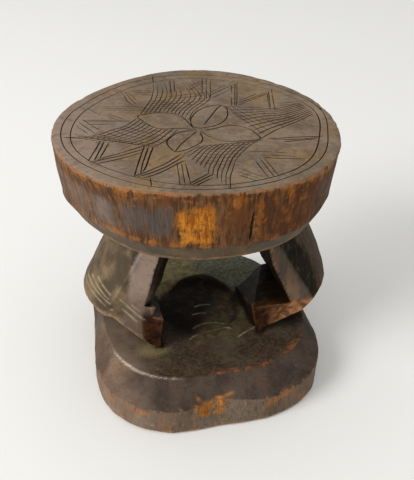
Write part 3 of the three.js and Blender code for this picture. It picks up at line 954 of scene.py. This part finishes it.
seat_orange = [
    (-176, -138, 264, 278, 0.55), (-138, -112, 268, 278, 0.6), (-110.5, -96, 222, 262, 1.0),
    (-112, -94, 262, 278, 0.5), (-150, -96, 219, 227, 0.7), (-96, -60, 219, 225, 0.5),
    (-82, -78.5, 224, 268, 0.9),
    (-92, -56, 262, 278, 0.55), (-71, -66, 256, 278, 1.0), (-62, -58, 266, 278, 0.9),
    (-56, -49, 264, 280, 1.0),
    (-94, -84, 258, 278, 0.45), (-132, -127, 228, 236, 0.5), (-8, 8, 262, 280, 0.5),
    (150, 172, 262, 278, 0.6),
    (100, 118, 235, 262, 0.7), (60, 72, 258, 278, 0.7), (20, 34, 224, 240, 0.6)]
base_orange = [
    (-146, -138, 12, 30, 0.6), (-137, -122, 21, 31, 0.75), (-104, -90, 14, 31, 0.75),
    (-75, -58, 18, 31, 0.65),
    (-60, -40, 0, 10, 0.7), (-125, -108, 0, 6, 0.8), (-160, -20, 27, 33, 0.45), (20, 60, 2, 28, 0.4),
    (100, 130, 2, 28, 0.5), (150, 165, 4, 26, 0.5)]
seat_grime = [
    (-148, -112, 226, 260, 1.0), (-160, -146, 222, 262, 0.6), (-53, -38, 222, 262, 0.8),
    (-94, -88, 224, 246, 0.4),
    (10, 60, 224, 262, 0.7), (90, 100, 224, 270, 0.8), (125, 150, 224, 262, 0.8)]
base_grime = [
    (-128, -121, 5, 28, 1.0), (-92, -76, 2, 26, 0.7), (-170, -146, 3, 30, 0.5), (0, 18, 2, 28, 0.7),
    (70, 100, 2, 28, 0.7)]
seat_red = [
    (-79, -52, 222, 276, 1.0), (-124, -112, 262, 276, 0.6), (-150, -130, 262, 275, 0.5),
    (-94, -82, 224, 270, 0.7),
    (-20, 20, 224, 270, 0.7), (160, 185, 222, 262, 0.5), (72, 90, 224, 270, 0.6)]
base_red = [
    (-121, -111, 2, 32, 0.9), (-76, -60, 30, 46, 0.4), (-160, -140, 40, 50, 0.4), (-60, -45, 8, 30, 0.6),
    (120, 150, 2, 45, 0.6)]
orange = np.where(of_seat, patches(seat_turn, seat_orange), patches(base_turn, base_orange))
# no loose orange flecks on the bevel, the floor and the wings
masks["orange"] = orange - 0.5 * (z > 30) * of_lower * step_down(orange, 0.0, 0.3)
masks["grime"] = np.where(of_seat, patches(seat_turn, seat_grime, 10, 20),
                          patches(base_turn, base_grime, 8, 14))
masks["red"] = np.where(of_seat, patches(seat_turn, seat_red, 8, 16), patches(base_turn, base_red, 8, 14))
print("patched share", round(float((masks["orange"] > 0.3).mean()), 3))

# %% [markdown]
# The parts of the stool have their own tones too: the top, the slope below the wall, the walls and
# the bevel. Painted light from one side and old dust make the left end paler, and painted shade makes
# the seat's right end darker, so the ends have masks of their own. A part is told by its height and
# by which way its surface faces.

# %% Parts
masks["top"] = step_up(normals[:, 2], 0.55, 0.85) * (z > HEIGHT - 4)
masks["slope"] = step_up(-normals[:, 2], 0.3, 0.6) * of_seat
seat_side = of_seat * (1 - masks["top"])
masks["seat_wall"] = seat_side * (z > 218)
# Painted light and dust on the seat's left end, painted shade on its right end.
masks["light_and_dust_seat_left"] = seat_side * patches(seat_turn, [(-184, -130, 214, 257, 1.0)], 20, 5)
masks["painted_shade_seat_right"] = seat_side * patches(seat_turn, [(-86, -20, 216, 272, 1.0)], 14, 8)
masks["base_wall"] = (z < 30.5) * (np.abs(normals[:, 2]) < 0.6)
masks["bevel"] = (z > 29) * (z < 49.5) * (normals[:, 2] > 0.2)

# %% [markdown]
# The floor of the passage has a near-black painted shadow over the dish, is brown in front of it
# where hands and feet reach, and has painted light behind it, green-grey and yellow to the left,
# with a painted shadow under the right arm. The border of the painted shadow wanders: its reach
# round the dish changes with the angle, and the light falls across one straight line.

# %% Floor of the passage
on_floor = of_lower * (z > 42) * (z < 60) * step_up(normals[:, 2], 0.5, 0.8)
dish_gap = np.hypot(x - DISH_X, y - DISH_Y)
dish_turn = np.arctan2(y - DISH_Y, x - DISH_X) / DEG
dark_reach = 47 + 9 * bell(dish_turn, 70, 30) - 9 * bell(dish_turn, 138, 22)
to_light = 0.822 * (x - 31) - 0.569 * (y - 33)
fading = 4 + 10 * (y < 0)
# Painted shadow: the dish's floor is near black on the shaded side of the straight light line.
painted_floor_shadow = on_floor * step_down(dish_gap, dark_reach, dark_reach + fading) * step_down(to_light, -10, 10)
masks["floor_brown"] = on_floor * step_down(dish_gap, 50, 72) * step_up(to_light, -6, 8) * (x < 60)
masks["floor_left"] = on_floor * step_up(z, 48.3, 49.3) * step_up(-x, 60, 104) * step_down(y, -30, 30)
# Painted shadow on the floor under the right arm.
masks["shadow_under_right"] = on_floor * bell(x, 88, 22) * bell(y, -34, 22)
# Painted light: the floor behind the dish is lit green-grey, and yellow on its left part.
lit_floor_behind = on_floor * (z > 48.3) * (z < 56) * step_up(y, 18, 30)
lit_floor_behind = lit_floor_behind * step_up(dish_gap, dark_reach, dark_reach + 4)
masks["lit_floor_behind"] = lit_floor_behind * (1 - 0.6 * step_up(y, 84, 112))
parting = 7 + 5 * waves(points * [1, 1, 0], 26, 31)
masks["lit_floor_behind_left"] = masks["lit_floor_behind"] * step_down(x, parting - 4, parting + 4)
# Painted light and old dust on the base's left end.
masks["light_and_dust_base_left"] = (z < 49) * (1 - masks["lit_floor_behind"]) * step_up(-x, 72, 114) * step_down(y, -30, 40)
dust_left, dust_right = bell(x, -69, 19) * bell(y, -57, 12), bell(x, 42, 10) * bell(y, -20, 34)
masks["dust"] = (of_lower * (z > 47) * (z < 56) * step_up(normals[:, 2], 0.6, 0.9)
                 * (1.4 * dust_left + 0.7 * dust_right))
print("dark floor", int((painted_floor_shadow > 0.5).sum()), "points, behind", int((lit_floor_behind > 0.5).sum()), "points")

# %% [markdown]
# Edges rub bright. Each worn line is a bell round the height where two surfaces meet: the rim and
# the shoulder of the base, the foot of the seat's wall and its upper edge. The left part of the rim
# has no orange line but a thin painted highlight, so that part is taken out and gets a mask of its own.

# %% Worn lines
base_out = np.hypot(x + 4, y)
base_edge = base_radius(base_turn * DEG, np.clip(z, 0, 50))
at_edge = step_up(base_out, base_edge - 7, base_edge - 4)
seat_out = np.hypot(x - SEAT_X, y - SEAT_Y)
lines = [0.75 * at_edge * bell(z, 49.9, 0.55), 0.4 * at_edge * bell(z, BASE_WALL, 1.6),
         0.6 * (seat_out > 116) * bell(z, WALL_FOOT, 1.3),
         0.6 * (z > 271) * (1 - masks["top"]) * bell(z, 274.5, 1.6)]
left_rim = (z > 40) * patches(base_turn, [(-185, -92, 40, 60, 1.0)], 12, 4)
masks["line"] = np.max(lines, axis=0) * (1 - 0.85 * left_rim)
# Painted highlight: a thin pale line along the left part of the rim.
rim_gap = base_out - base_radius(base_turn * DEG, BASE_HEIGHT)
highlight_part = patches(base_turn, [(-154, -114, 40, 60, 1.0)], 14, 4)
masks["rim_highlight"] = bell(rim_gap, 0, 0.6) * (z > 48) * (z < 52) * highlight_part

# %% [markdown]
# The wings' fronts are the palest wood of the lower body, and the ends of the lower arms are fresh
# red-brown cuts. Between them run the arrises, whose places are straight lines down the front, so a
# face is told by which side of an arris a point lies on.

# %% Fronts of the wings
right_arris = 63 + (163 - z) * 43 / 73
right_crease = np.interp(z, [91.6, 112.7, 132.1, 147.6, 162.9], [112.8, 108.1, 101.6, 92.3, 81.2])
left_crease = -81.4 - (178.5 - z) * 0.157
in_front = of_lower * (z > 51) * step_up(-flat_normals[:, 1], 0.5, 0.7) * (y < FRONT + 16)
right_front = step_down(x, right_arris - 0.8, right_arris + 0.8)
left_front = step_up(x, left_crease - 2, left_crease + 2) * (y < FRONT + 7)
front_face = in_front * np.where(x > 0, right_front, left_front)
below_arm = np.where(x > 0, step_down(z, 84, 94), step_up(x, -79, -75) * step_down(z, 92, 108))
paleness = np.where(x > 0, 0.55 + 0.45 * step_down(z, 100, 130), 0.35 + 0.65 * step_up(z, 100, 135))
masks["cut_face"] = front_face * below_arm
masks["pale_face"] = front_face * (1 - below_arm) * paleness
# Painted shade: the facet beside the right wing's front is dark as if the seat above shaded it.
before_crease = step_down(x, right_crease - 1, right_crease + 2)
masks["painted_shade_facet"] = in_front * (z > 84) * (x > 50) * (1 - right_front) * before_crease
beyond_crease = step_down(x, left_crease - 1, left_crease + 2)
masks["left_wing"] = of_lower * (z > 54) * (x < -50) * beyond_crease * step_down(y, 20, 60)

# %% [markdown]
# Everything that faces the passage is nearly black, painted shade over dark patina: the inner sides
# of the wings, the left wing's inner facet, the tops of the lower arms, and the dish with its painted
# shadow. A warm strip of painted light is left along the right arm's lower edge.

# %% Inner sides
inner_x = np.where(x > 0, -normals[:, 0], normals[:, 0])
inner_sides = of_lower * (z > 44) * step_up(inner_x, 0.15, 0.45) * step_up(y, -62, -55)
facing_in = step_up(flat_normals @ np.array([np.sqrt(0.5), -np.sqrt(0.5), 0]), 0.75, 0.9)
left_facet = of_lower * (z > 100) * (z < 190) * (x < -30) * (x > -76) * (y < -40)
left_facet = left_facet * facing_in * step_up(z, 108, 150)
arm_tops = of_lower * (z > 56) * (z < 112) * step_up(normals[:, 2], 0.25, 0.5) * (x > -76) * (x < 88)
# Painted shade over dark patina on all that faces the passage, with the dish's painted shadow.
inside = np.clip(inner_sides + painted_floor_shadow, 0, 1)
inside = np.clip(inside + 0.95 * left_facet + arm_tops * step_up(y, -57.5, -55.5), 0, 1)
left_bend = (x < -30) * (z > 76) * step_down(y, -50, -34) * step_down(z, 104, 140)
masks["inside"] = inside * (1 - 0.75 * left_bend)
# Painted light: a warm strip along the right arm's lower edge, where light reaches the inner side.
lit_right_edge = (x > 38) * (x < 90) * (z > 60) * step_down(z, 84, 91) * step_down(y, -54, -42)
masks["painted_light_strip"] = masks["inside"] * lit_right_edge
print("inner share", round(float((masks["inside"] > 0.5).mean()), 3))

# %% Masks onto the points, and soft and sharp edges
for name, values in masks.items():
    stool.data.attributes.new(name, "FLOAT", "POINT").data.foreach_set("value", values.astype(np.float32))
stool.data.polygons.foreach_set("use_smooth", np.ones(len(stool.data.polygons), bool))
with bpy.context.temp_override(object=stool, active_object=stool, selected_objects=[stool],
                               selected_editable_objects=[stool]):
    bpy.ops.object.shade_smooth_by_angle(angle=21 * DEG, keep_sharp_edges=False)

at_wall_foot = (np.abs(seat_out - (SEAT_RADIUS - WALL_TAPER)) < 16) & (np.abs(z - WALL_FOOT) < 0.25)
round_wall = at_wall_foot[edges].all(1)
sharp = stool.data.attributes.get("sharp_edge") or stool.data.attributes.new("sharp_edge", "BOOLEAN", "EDGE")
sharp_now = np.zeros(len(edges), bool)
sharp.data.foreach_get("value", sharp_now)
sharp.data.foreach_set("value", sharp_now | round_wall)
print(len(masks), "masks; sharp edges", int(sharp_now.sum()), "and", int(round_wall.sum()), "round the wall")

# %% [markdown]
# The finish is one wood with layers over it, the way the real surface grew: dark heartwood with
# upright fibres, old polish, grey dust on what faces up, bare wood where it is worn, and black in
# the hollows; painted light and painted shade are laid over them as well. One material holds them
# all, because it is one block: each layer is a colour and the share of it that shows, and the share
# is a mask from the points times a noise that breaks it up.

# %% Small helpers for the finish
def colour(red_part, green_part, blue_part):
    """A screen colour of 0 to 255 as linear light."""
    c = np.array([red_part, green_part, blue_part]) / 255
    c = np.where(c <= 0.04045, c / 12.92, ((c + 0.055) / 1.055) ** 2.4)
    return (*c.tolist(), 1.0)


wood = bpy.data.materials.new("wood")
wood.use_nodes = True
tree = wood.node_tree
tree.nodes.clear()


def node(kind, **settings):
    """A new node with its settings."""
    made = tree.nodes.new(kind)
    for key, value in settings.items():
        setattr(made, key, value)
    return made


def plug(socket, value):
    """Links an output to a socket, or sets the socket to a plain value."""
    if isinstance(value, bpy.types.NodeSocket):
        tree.links.new(value, socket)
    else:
        socket.default_value = value


def reading(name):
    """The mask of that name on the points."""
    return node("ShaderNodeAttribute", attribute_name=name, attribute_type="GEOMETRY").outputs["Fac"]


def maths(operation, a, b):
    """One sum on two values or outputs."""
    n = node("ShaderNodeMath", operation=operation)
    plug(n.inputs[0], a)
    plug(n.inputs[1], b)
    return n.outputs[0]


def span(value, low, high, to_low=0.0, to_high=1.0):
    """Maps low..high onto to_low..to_high with soft ends."""
    n = node("ShaderNodeMapRange", interpolation_type="SMOOTHSTEP")
    for socket, v in zip(n.inputs[:5], (value, low, high, to_low, to_high)):
        plug(socket, v)
    return n.outputs[0]


def lay(under, over, *shares):
    """One colour over another; the product of the shares says how much of it shows."""
    share = shares[0]
    for more in shares[1:]:
        share = maths("MULTIPLY", share, more)
    n = node("ShaderNodeMix", data_type="RGBA", blend_type="MIX")
    plug(n.inputs["Factor"], share)
    plug(n.inputs[6], under)
    plug(n.inputs[7], over)
    return n.outputs[2]


def two_tone(pattern, low, high, first, second):
    """One colour where the pattern is below low, the other above high, and both mixed between."""
    return lay(colour(*first), colour(*second), span(pattern, low, high))


def broken(mask, pattern, low=0.55, high=0.8, reach=3.2):
    """A soft mask broken up by a pattern: its border wanders and holes open in it."""
    swing = maths("MULTIPLY", maths("SUBTRACT", pattern, 0.5), reach)
    return span(maths("ADD", mask, swing), low, high)


# %% [markdown]
# The noises read Object coordinates, so they lie in the wood and don't slide when the view changes.
# The upright ones are stretched along Z like the fibres of the block, since the stool was cut from a
# standing trunk.

# %% Noises
place = node("ShaderNodeTexCoord").outputs["Object"]
axes = node("ShaderNodeSeparateXYZ")
plug(axes.inputs[0], place)
axis_x = axes.outputs[0]


def noise(scale, stretch=(1, 1, 1), detail=4.0, rough=0.55, shift=0.0, warp=0.0):
    """Noise whose features are about scale millimetres across."""
    n = node("ShaderNodeMapping")
    plug(n.inputs["Vector"], place)
    n.inputs["Scale"].default_value = tuple(1000 / scale / s for s in stretch)
    n.inputs["Location"].default_value = (shift, shift * 1.7, shift * 0.6)
    t = node("ShaderNodeTexNoise")
    plug(t.inputs["Vector"], n.outputs[0])
    for name, value in (("Scale", 1.0), ("Detail", detail), ("Roughness", rough), ("Distortion", warp)):
        t.inputs[name].default_value = value
    return t.outputs["Fac"]


fibres = noise(1.2, (1, 1, 16), 5, 0.65)
streaks = noise(3.6, (1, 1, 8), 6, 0.65, 3.0, 0.4)
broad = noise(22.0, (1, 1, 3), 5, 0.55, 7.0)
mottle = noise(34.0, (1, 1, 1), 7, 0.6, 11.0)
flecks = noise(9.0, (1, 1, 1), 6, 0.62, 17.0, 0.6)
grain = noise(1.1, (1, 1, 1), 4, 0.6, 23.0)

# %% [markdown]
# First the walls: heartwood, the tone of each part, and then the patches that use has left. The
# orange comes last of the patches, because it is bare wood that shows through all the others.

# %% Walls and patches
side = two_tone(streaks, 0.35, 0.65, (52, 40, 31), (76, 62, 49))
side = lay(side, colour(96, 88, 72), span(mottle, 0.4, 0.75), 0.4)
side = lay(side, two_tone(streaks, 0.35, 0.65, (64, 42, 28), (112, 76, 46)), reading("seat_wall"), 0.75)
side = lay(side, two_tone(broad, 0.35, 0.65, (60, 50, 47), (84, 72, 64)), reading("bevel"), 0.7)
side = lay(side, colour(74, 70, 68), broken(reading("grime"), broad, 0.4, 1.1),
           span(streaks, 0.3, 0.6, 0.9, 0.65))
side = lay(side, colour(96, 56, 30), broken(reading("red"), broad, 0.4, 1.1), 0.8)
side = lay(side, colour(126, 109, 93), reading("base_wall"), span(broad, 0.3, 0.7, 0.35, 0.6))
side = lay(side, colour(160, 122, 80), reading("base_wall"), span(flecks, 0.58, 0.68, 0.0, 0.7))
side = lay(side, colour(198, 178, 144), reading("base_wall"), span(grain, 0.6, 0.72, 0.0, 0.6))
bare = two_tone(streaks, 0.38, 0.62, (212, 136, 42), (132, 74, 22))
bare = lay(bare, colour(96, 60, 34), span(flecks, 0.5, 0.7), 0.6)
fine = maths("MULTIPLY", maths("ADD", streaks, flecks), 0.5)
side = lay(side, bare, broken(reading("orange"), fine, 0.35, 1.15, 4.5))
side = lay(side, colour(140, 84, 36), reading("seat_wall"), maths("SUBTRACT", 1.0, reading("grime")),
           span(flecks, 0.54, 0.68, 0.0, 0.8))

# %% [markdown]
# Then wear: what sticks out is rubbed pale, the arrises have a broken brown line, and the ends are
# paler on the left with painted light and old dust, and darker on the right with painted shade. Dark
# fibres run over all of it.

# %% Wear and the two ends
wear, line = reading("wear"), reading("line")
side = lay(side, colour(150, 112, 78), broken(wear, flecks, 0.35, 1.1, 3.0), 0.7)
side = lay(side, colour(138, 82, 48), broken(line, flecks, 0.35, 1.2, 4.0), span(line, 0.0, 0.1, 0.0, 0.7))
# Painted light and old dust pale the left ends; painted shade darkens the seat's right end.
side = lay(side, two_tone(mottle, 0.35, 0.68, (122, 98, 82), (152, 126, 106)), reading("light_and_dust_base_left"),
           span(broad, 0.35, 0.65, 0.3, 0.66))
side = lay(side, colour(136, 114, 98), reading("light_and_dust_seat_left"), span(broad, 0.4, 0.65, 0.1, 0.5))
side = lay(side, colour(58, 38, 24), reading("painted_shade_seat_right"), span(streaks, 0.4, 0.65, 0.5, 0.1))
side = lay(side, colour(34, 25, 19), span(fibres, 0.5, 0.7), 0.6)

# %% [markdown]
# The wings: a dusty olive brown on the left one's outside, pale fronts, painted shade from the seat on
# the right one's facet and fresh red-brown cuts at the ends of the arms, which turn paler towards the right.

# %% Wings
left_wing = reading("left_wing")
side = lay(side, two_tone(mottle, 0.4, 0.62, (76, 66, 52), (124, 104, 80)), left_wing,
           span(broad, 0.3, 0.7, 0.45, 0.85))
side = lay(side, colour(156, 130, 104), left_wing, wear, span(flecks, 0.35, 0.6, 0.2, 0.7))
pale_left = two_tone(broad, 0.4, 0.6, (118, 110, 104), (146, 126, 112))
pale_right = two_tone(broad, 0.4, 0.62, (76, 70, 64), (122, 96, 76))
pale = lay(pale_left, pale_right, span(axis_x, -0.01, 0.01))
pale = lay(pale, colour(98, 80, 64), span(flecks, 0.52, 0.68, 0.0, 0.5))
side = lay(side, pale, reading("pale_face"), 0.85)
# Painted shade on the right wing's facet.
side = lay(side, two_tone(streaks, 0.5, 0.75, (24, 22, 17), (66, 64, 56)), reading("painted_shade_facet"), 0.9)
cut_left = two_tone(flecks, 0.4, 0.6, (28, 13, 7), (62, 31, 15))
cut_right = two_tone(flecks, 0.4, 0.6, (104, 66, 40), (166, 118, 80))
side = lay(side, lay(cut_left, cut_right, span(axis_x, 0.055, 0.088)), reading("cut_face"), 0.9)
side = lay(side, two_tone(broad, 0.4, 0.65, (92, 86, 76), (118, 98, 76)), reading("slope"), 0.7)

# %% [markdown]
# The floor and the passage come next, from the light dust on the left to the painted shadow of the
# dish, with painted light behind it and painted shade in the passage, and last the marks, the
# painted highlight on the rim and the dust, which lie on top of everything.

# %% Floor, passage and marks
side = lay(side, colour(124, 106, 92), reading("floor_left"), span(mottle, 0.3, 0.6, 0.5, 0.9))
side = lay(side, two_tone(flecks, 0.4, 0.65, (56, 48, 32), (92, 78, 52)), reading("floor_brown"), 0.85)
# Painted shade over dark patina in the passage, and the dish's painted shadow.
side = lay(side, two_tone(flecks, 0.5, 0.7, (17, 13, 9), (44, 34, 21)), reading("inside"), 0.93)
# A warm strip of painted light along the right arm's lower edge.
side = lay(side, two_tone(flecks, 0.4, 0.6, (48, 28, 10), (96, 56, 18)), reading("painted_light_strip"), 0.8)
# Painted light on the floor behind the dish, yellow on its left part.
side = lay(side, two_tone(streaks, 0.4, 0.7, (74, 76, 62), (112, 112, 96)), reading("lit_floor_behind"), 0.85)
side = lay(side, two_tone(flecks, 0.35, 0.65, (84, 76, 50), (126, 114, 74)), reading("lit_floor_behind_left"), 0.8)
# Painted shadow on the floor under the right arm.
side = lay(side, colour(14, 16, 10), reading("shadow_under_right"), 0.9)
# A painted highlight along the left part of the rim.
side = lay(side, colour(196, 178, 160), reading("rim_highlight"), span(flecks, 0.3, 0.6, 0.4, 0.9))
side = lay(side, colour(168, 154, 122), reading("mark"), span(flecks, 0.3, 0.6, 0.25, 0.85))
side = lay(side, colour(172, 116, 54), reading("gold"), span(flecks, 0.35, 0.6, 0.2, 0.95))
side = lay(side, colour(136, 122, 84), broken(reading("dust"), grain, 0.3, 1.2, 3.0), 0.6)

# %% [markdown]
# The top is a paler, dustier wood with ochre and grey clouds, rubbed spots and fine scratches across
# it, and the grooves hold old dirt; painted light makes its left end paler still. Its own layers
# replace those of the walls where the top's mask is 1, and hollows everywhere darken a little.

# %% Top
face = two_tone(mottle, 0.35, 0.65, (106, 90, 73), (132, 114, 95))
face = lay(face, colour(136, 108, 66), span(noise(40.0, (1, 1, 1), 4, 0.5, 41.0), 0.5, 0.68), 0.5)
face = lay(face, colour(112, 108, 104), span(noise(36.0, (1, 1, 1), 4, 0.5, 53.0), 0.52, 0.7), 0.5)
# Painted light: the top's left end is paler.
face = lay(face, colour(158, 138, 124), span(axis_x, -0.05, -0.135, 0.0, 0.5))
face = lay(face, colour(90, 73, 57), span(flecks, 0.48, 0.7), 0.6)
face = lay(face, colour(84, 70, 57), span(noise(1.3, (12, 1, 1), 4, 0.6, 61.0), 0.5, 0.7), 0.4)
face = lay(face, colour(78, 64, 52), span(grain, 0.5, 0.75), 0.35)
face = lay(face, colour(150, 133, 112), span(noise(4.0, (1, 1, 1), 4, 0.6, 31.0), 0.52, 0.72), 0.5)
face = lay(face, two_tone(flecks, 0.4, 0.6, (36, 25, 18), (56, 42, 31)), span(reading("groove"), 0.08, 0.5))
shade = lay(side, face, reading("top"))
shade = lay(shade, colour(30, 22, 16), reading("hollow"), 0.75)

# %% [markdown]
# Old wood that hands have rubbed is neither matt nor shiny, and its mirror light is weak, or the
# black parts would look grey. Fine relief too small for the mesh is a bump of half a millimetre.

# %% Surface
skin = node("ShaderNodeBsdfPrincipled")
plug(skin.inputs["Base Color"], shade)
plug(skin.inputs["Roughness"], span(mottle, 0.3, 0.7, 0.46, 0.64))
skin.inputs["Specular IOR Level"].default_value = 0.03
low_relief = maths("ADD", maths("MULTIPLY", grain, 0.35), maths("MULTIPLY", flecks, 0.8))
relief = node("ShaderNodeBump")
relief.inputs["Strength"].default_value = 0.6
relief.inputs["Distance"].default_value = 0.0005
plug(relief.inputs["Height"], maths("ADD", maths("MULTIPLY", fibres, 0.6), low_relief))
plug(skin.inputs["Normal"], relief.outputs[0])
plug(node("ShaderNodeOutputMaterial").inputs["Surface"], skin.outputs[0])
stool.data.materials.clear()
stool.data.materials.append(wood)
print("finish", len(tree.nodes), "nodes")

# %% [markdown]
# The frame: this one piece takes the place of the one solid of the CAD part, rides on its one body
# and shows the wood.

# %% Register
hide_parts("stool")
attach(stool, "root")

# %% [markdown]
# The stool stands on a pale plain floor in soft light from the left, seen from above. The light is
# one large disk, because a large lamp far off gives soft shadows, and the plain world fills them.

# %% Floor and light
floor = bpy.data.objects.new("floor", bpy.data.meshes.new("floor"))
floor.data.from_pydata([(-6, -4, 0), (6, -4, 0), (6, 9, 0), (-6, 9, 0)], [], [(0, 1, 2, 3)])
bpy.context.scene.collection.objects.link(floor)
paper = bpy.data.materials.new("paper")
paper.use_nodes = True
paper.node_tree.nodes["Principled BSDF"].inputs["Base Color"].default_value = (0.83, 0.825, 0.80, 1)
paper.node_tree.nodes["Principled BSDF"].inputs["Roughness"].default_value = 0.9
floor.data.materials.append(paper)

lamp_data = bpy.data.lights.new("window", "AREA")
lamp_data.shape, lamp_data.size, lamp_data.energy = "DISK", 2.0, 112
lamp = bpy.data.objects.new("window", lamp_data)
lamp.location = (-3.1, -1.1, 2.1)
lamp.rotation_mode = "QUATERNION"
lamp.rotation_quaternion = (Vector((0, 0, 0.1)) - lamp.location).to_track_quat("-Z", "Y")
bpy.context.scene.collection.objects.link(lamp)
world = bpy.data.worlds.new("room")
world.use_nodes = True
world.node_tree.nodes["Background"].inputs["Color"].default_value = (1, 1, 0.99, 1)
world.node_tree.nodes["Background"].inputs["Strength"].default_value = 0.74
bpy.context.scene.world = world
bpy.context.scene.view_settings.view_transform = "Standard"

# %% [markdown]
# The camera comes from a fit to the outlines of the seat, the wings and the base. It looks down by
# about 34 degrees and is turned and tilted very little; the last turn is the angle between the
# layout of that fit and the frame.

# %% Camera
look_down, look_left, tilt, layout_turn = 0.5993, 0.0181, 0.013, 13 * DEG
level_way = np.array([np.sin(look_left), np.cos(look_left), 0])
ahead = level_way * np.cos(look_down) - np.array([0, 0, np.sin(look_down)])
across = np.array([np.cos(look_left), -np.sin(look_left), 0])
above = np.cross(across, ahead)
picture_x = np.cos(tilt) * across + np.sin(tilt) * above
picture_y = -np.sin(tilt) * across + np.cos(tilt) * above
spin = np.array([[np.cos(layout_turn), np.sin(layout_turn), 0],
                 [-np.sin(layout_turn), np.cos(layout_turn), 0], [0, 0, 1]])
camera = bpy.data.objects.new("camera", bpy.data.cameras.new("camera"))
camera.matrix_world = Matrix((spin @ np.column_stack([picture_x, picture_y, -ahead])).tolist()).to_4x4()
camera.location = (-0.13086, -0.55942, 0.53026)
camera.data.sensor_fit, camera.data.sensor_height, camera.data.lens = "VERTICAL", 36, 48.75
camera.data.clip_start, camera.data.clip_end = 0.01, 50
bpy.context.scene.collection.objects.link(camera)
bpy.context.scene.camera = camera

# %% [markdown]
# Last, the number of triangles of the finished stool.

# %% Triangles of the finished stool
print("triangles", sum(len(p.vertices) - 2 for p in stool.data.polygons))
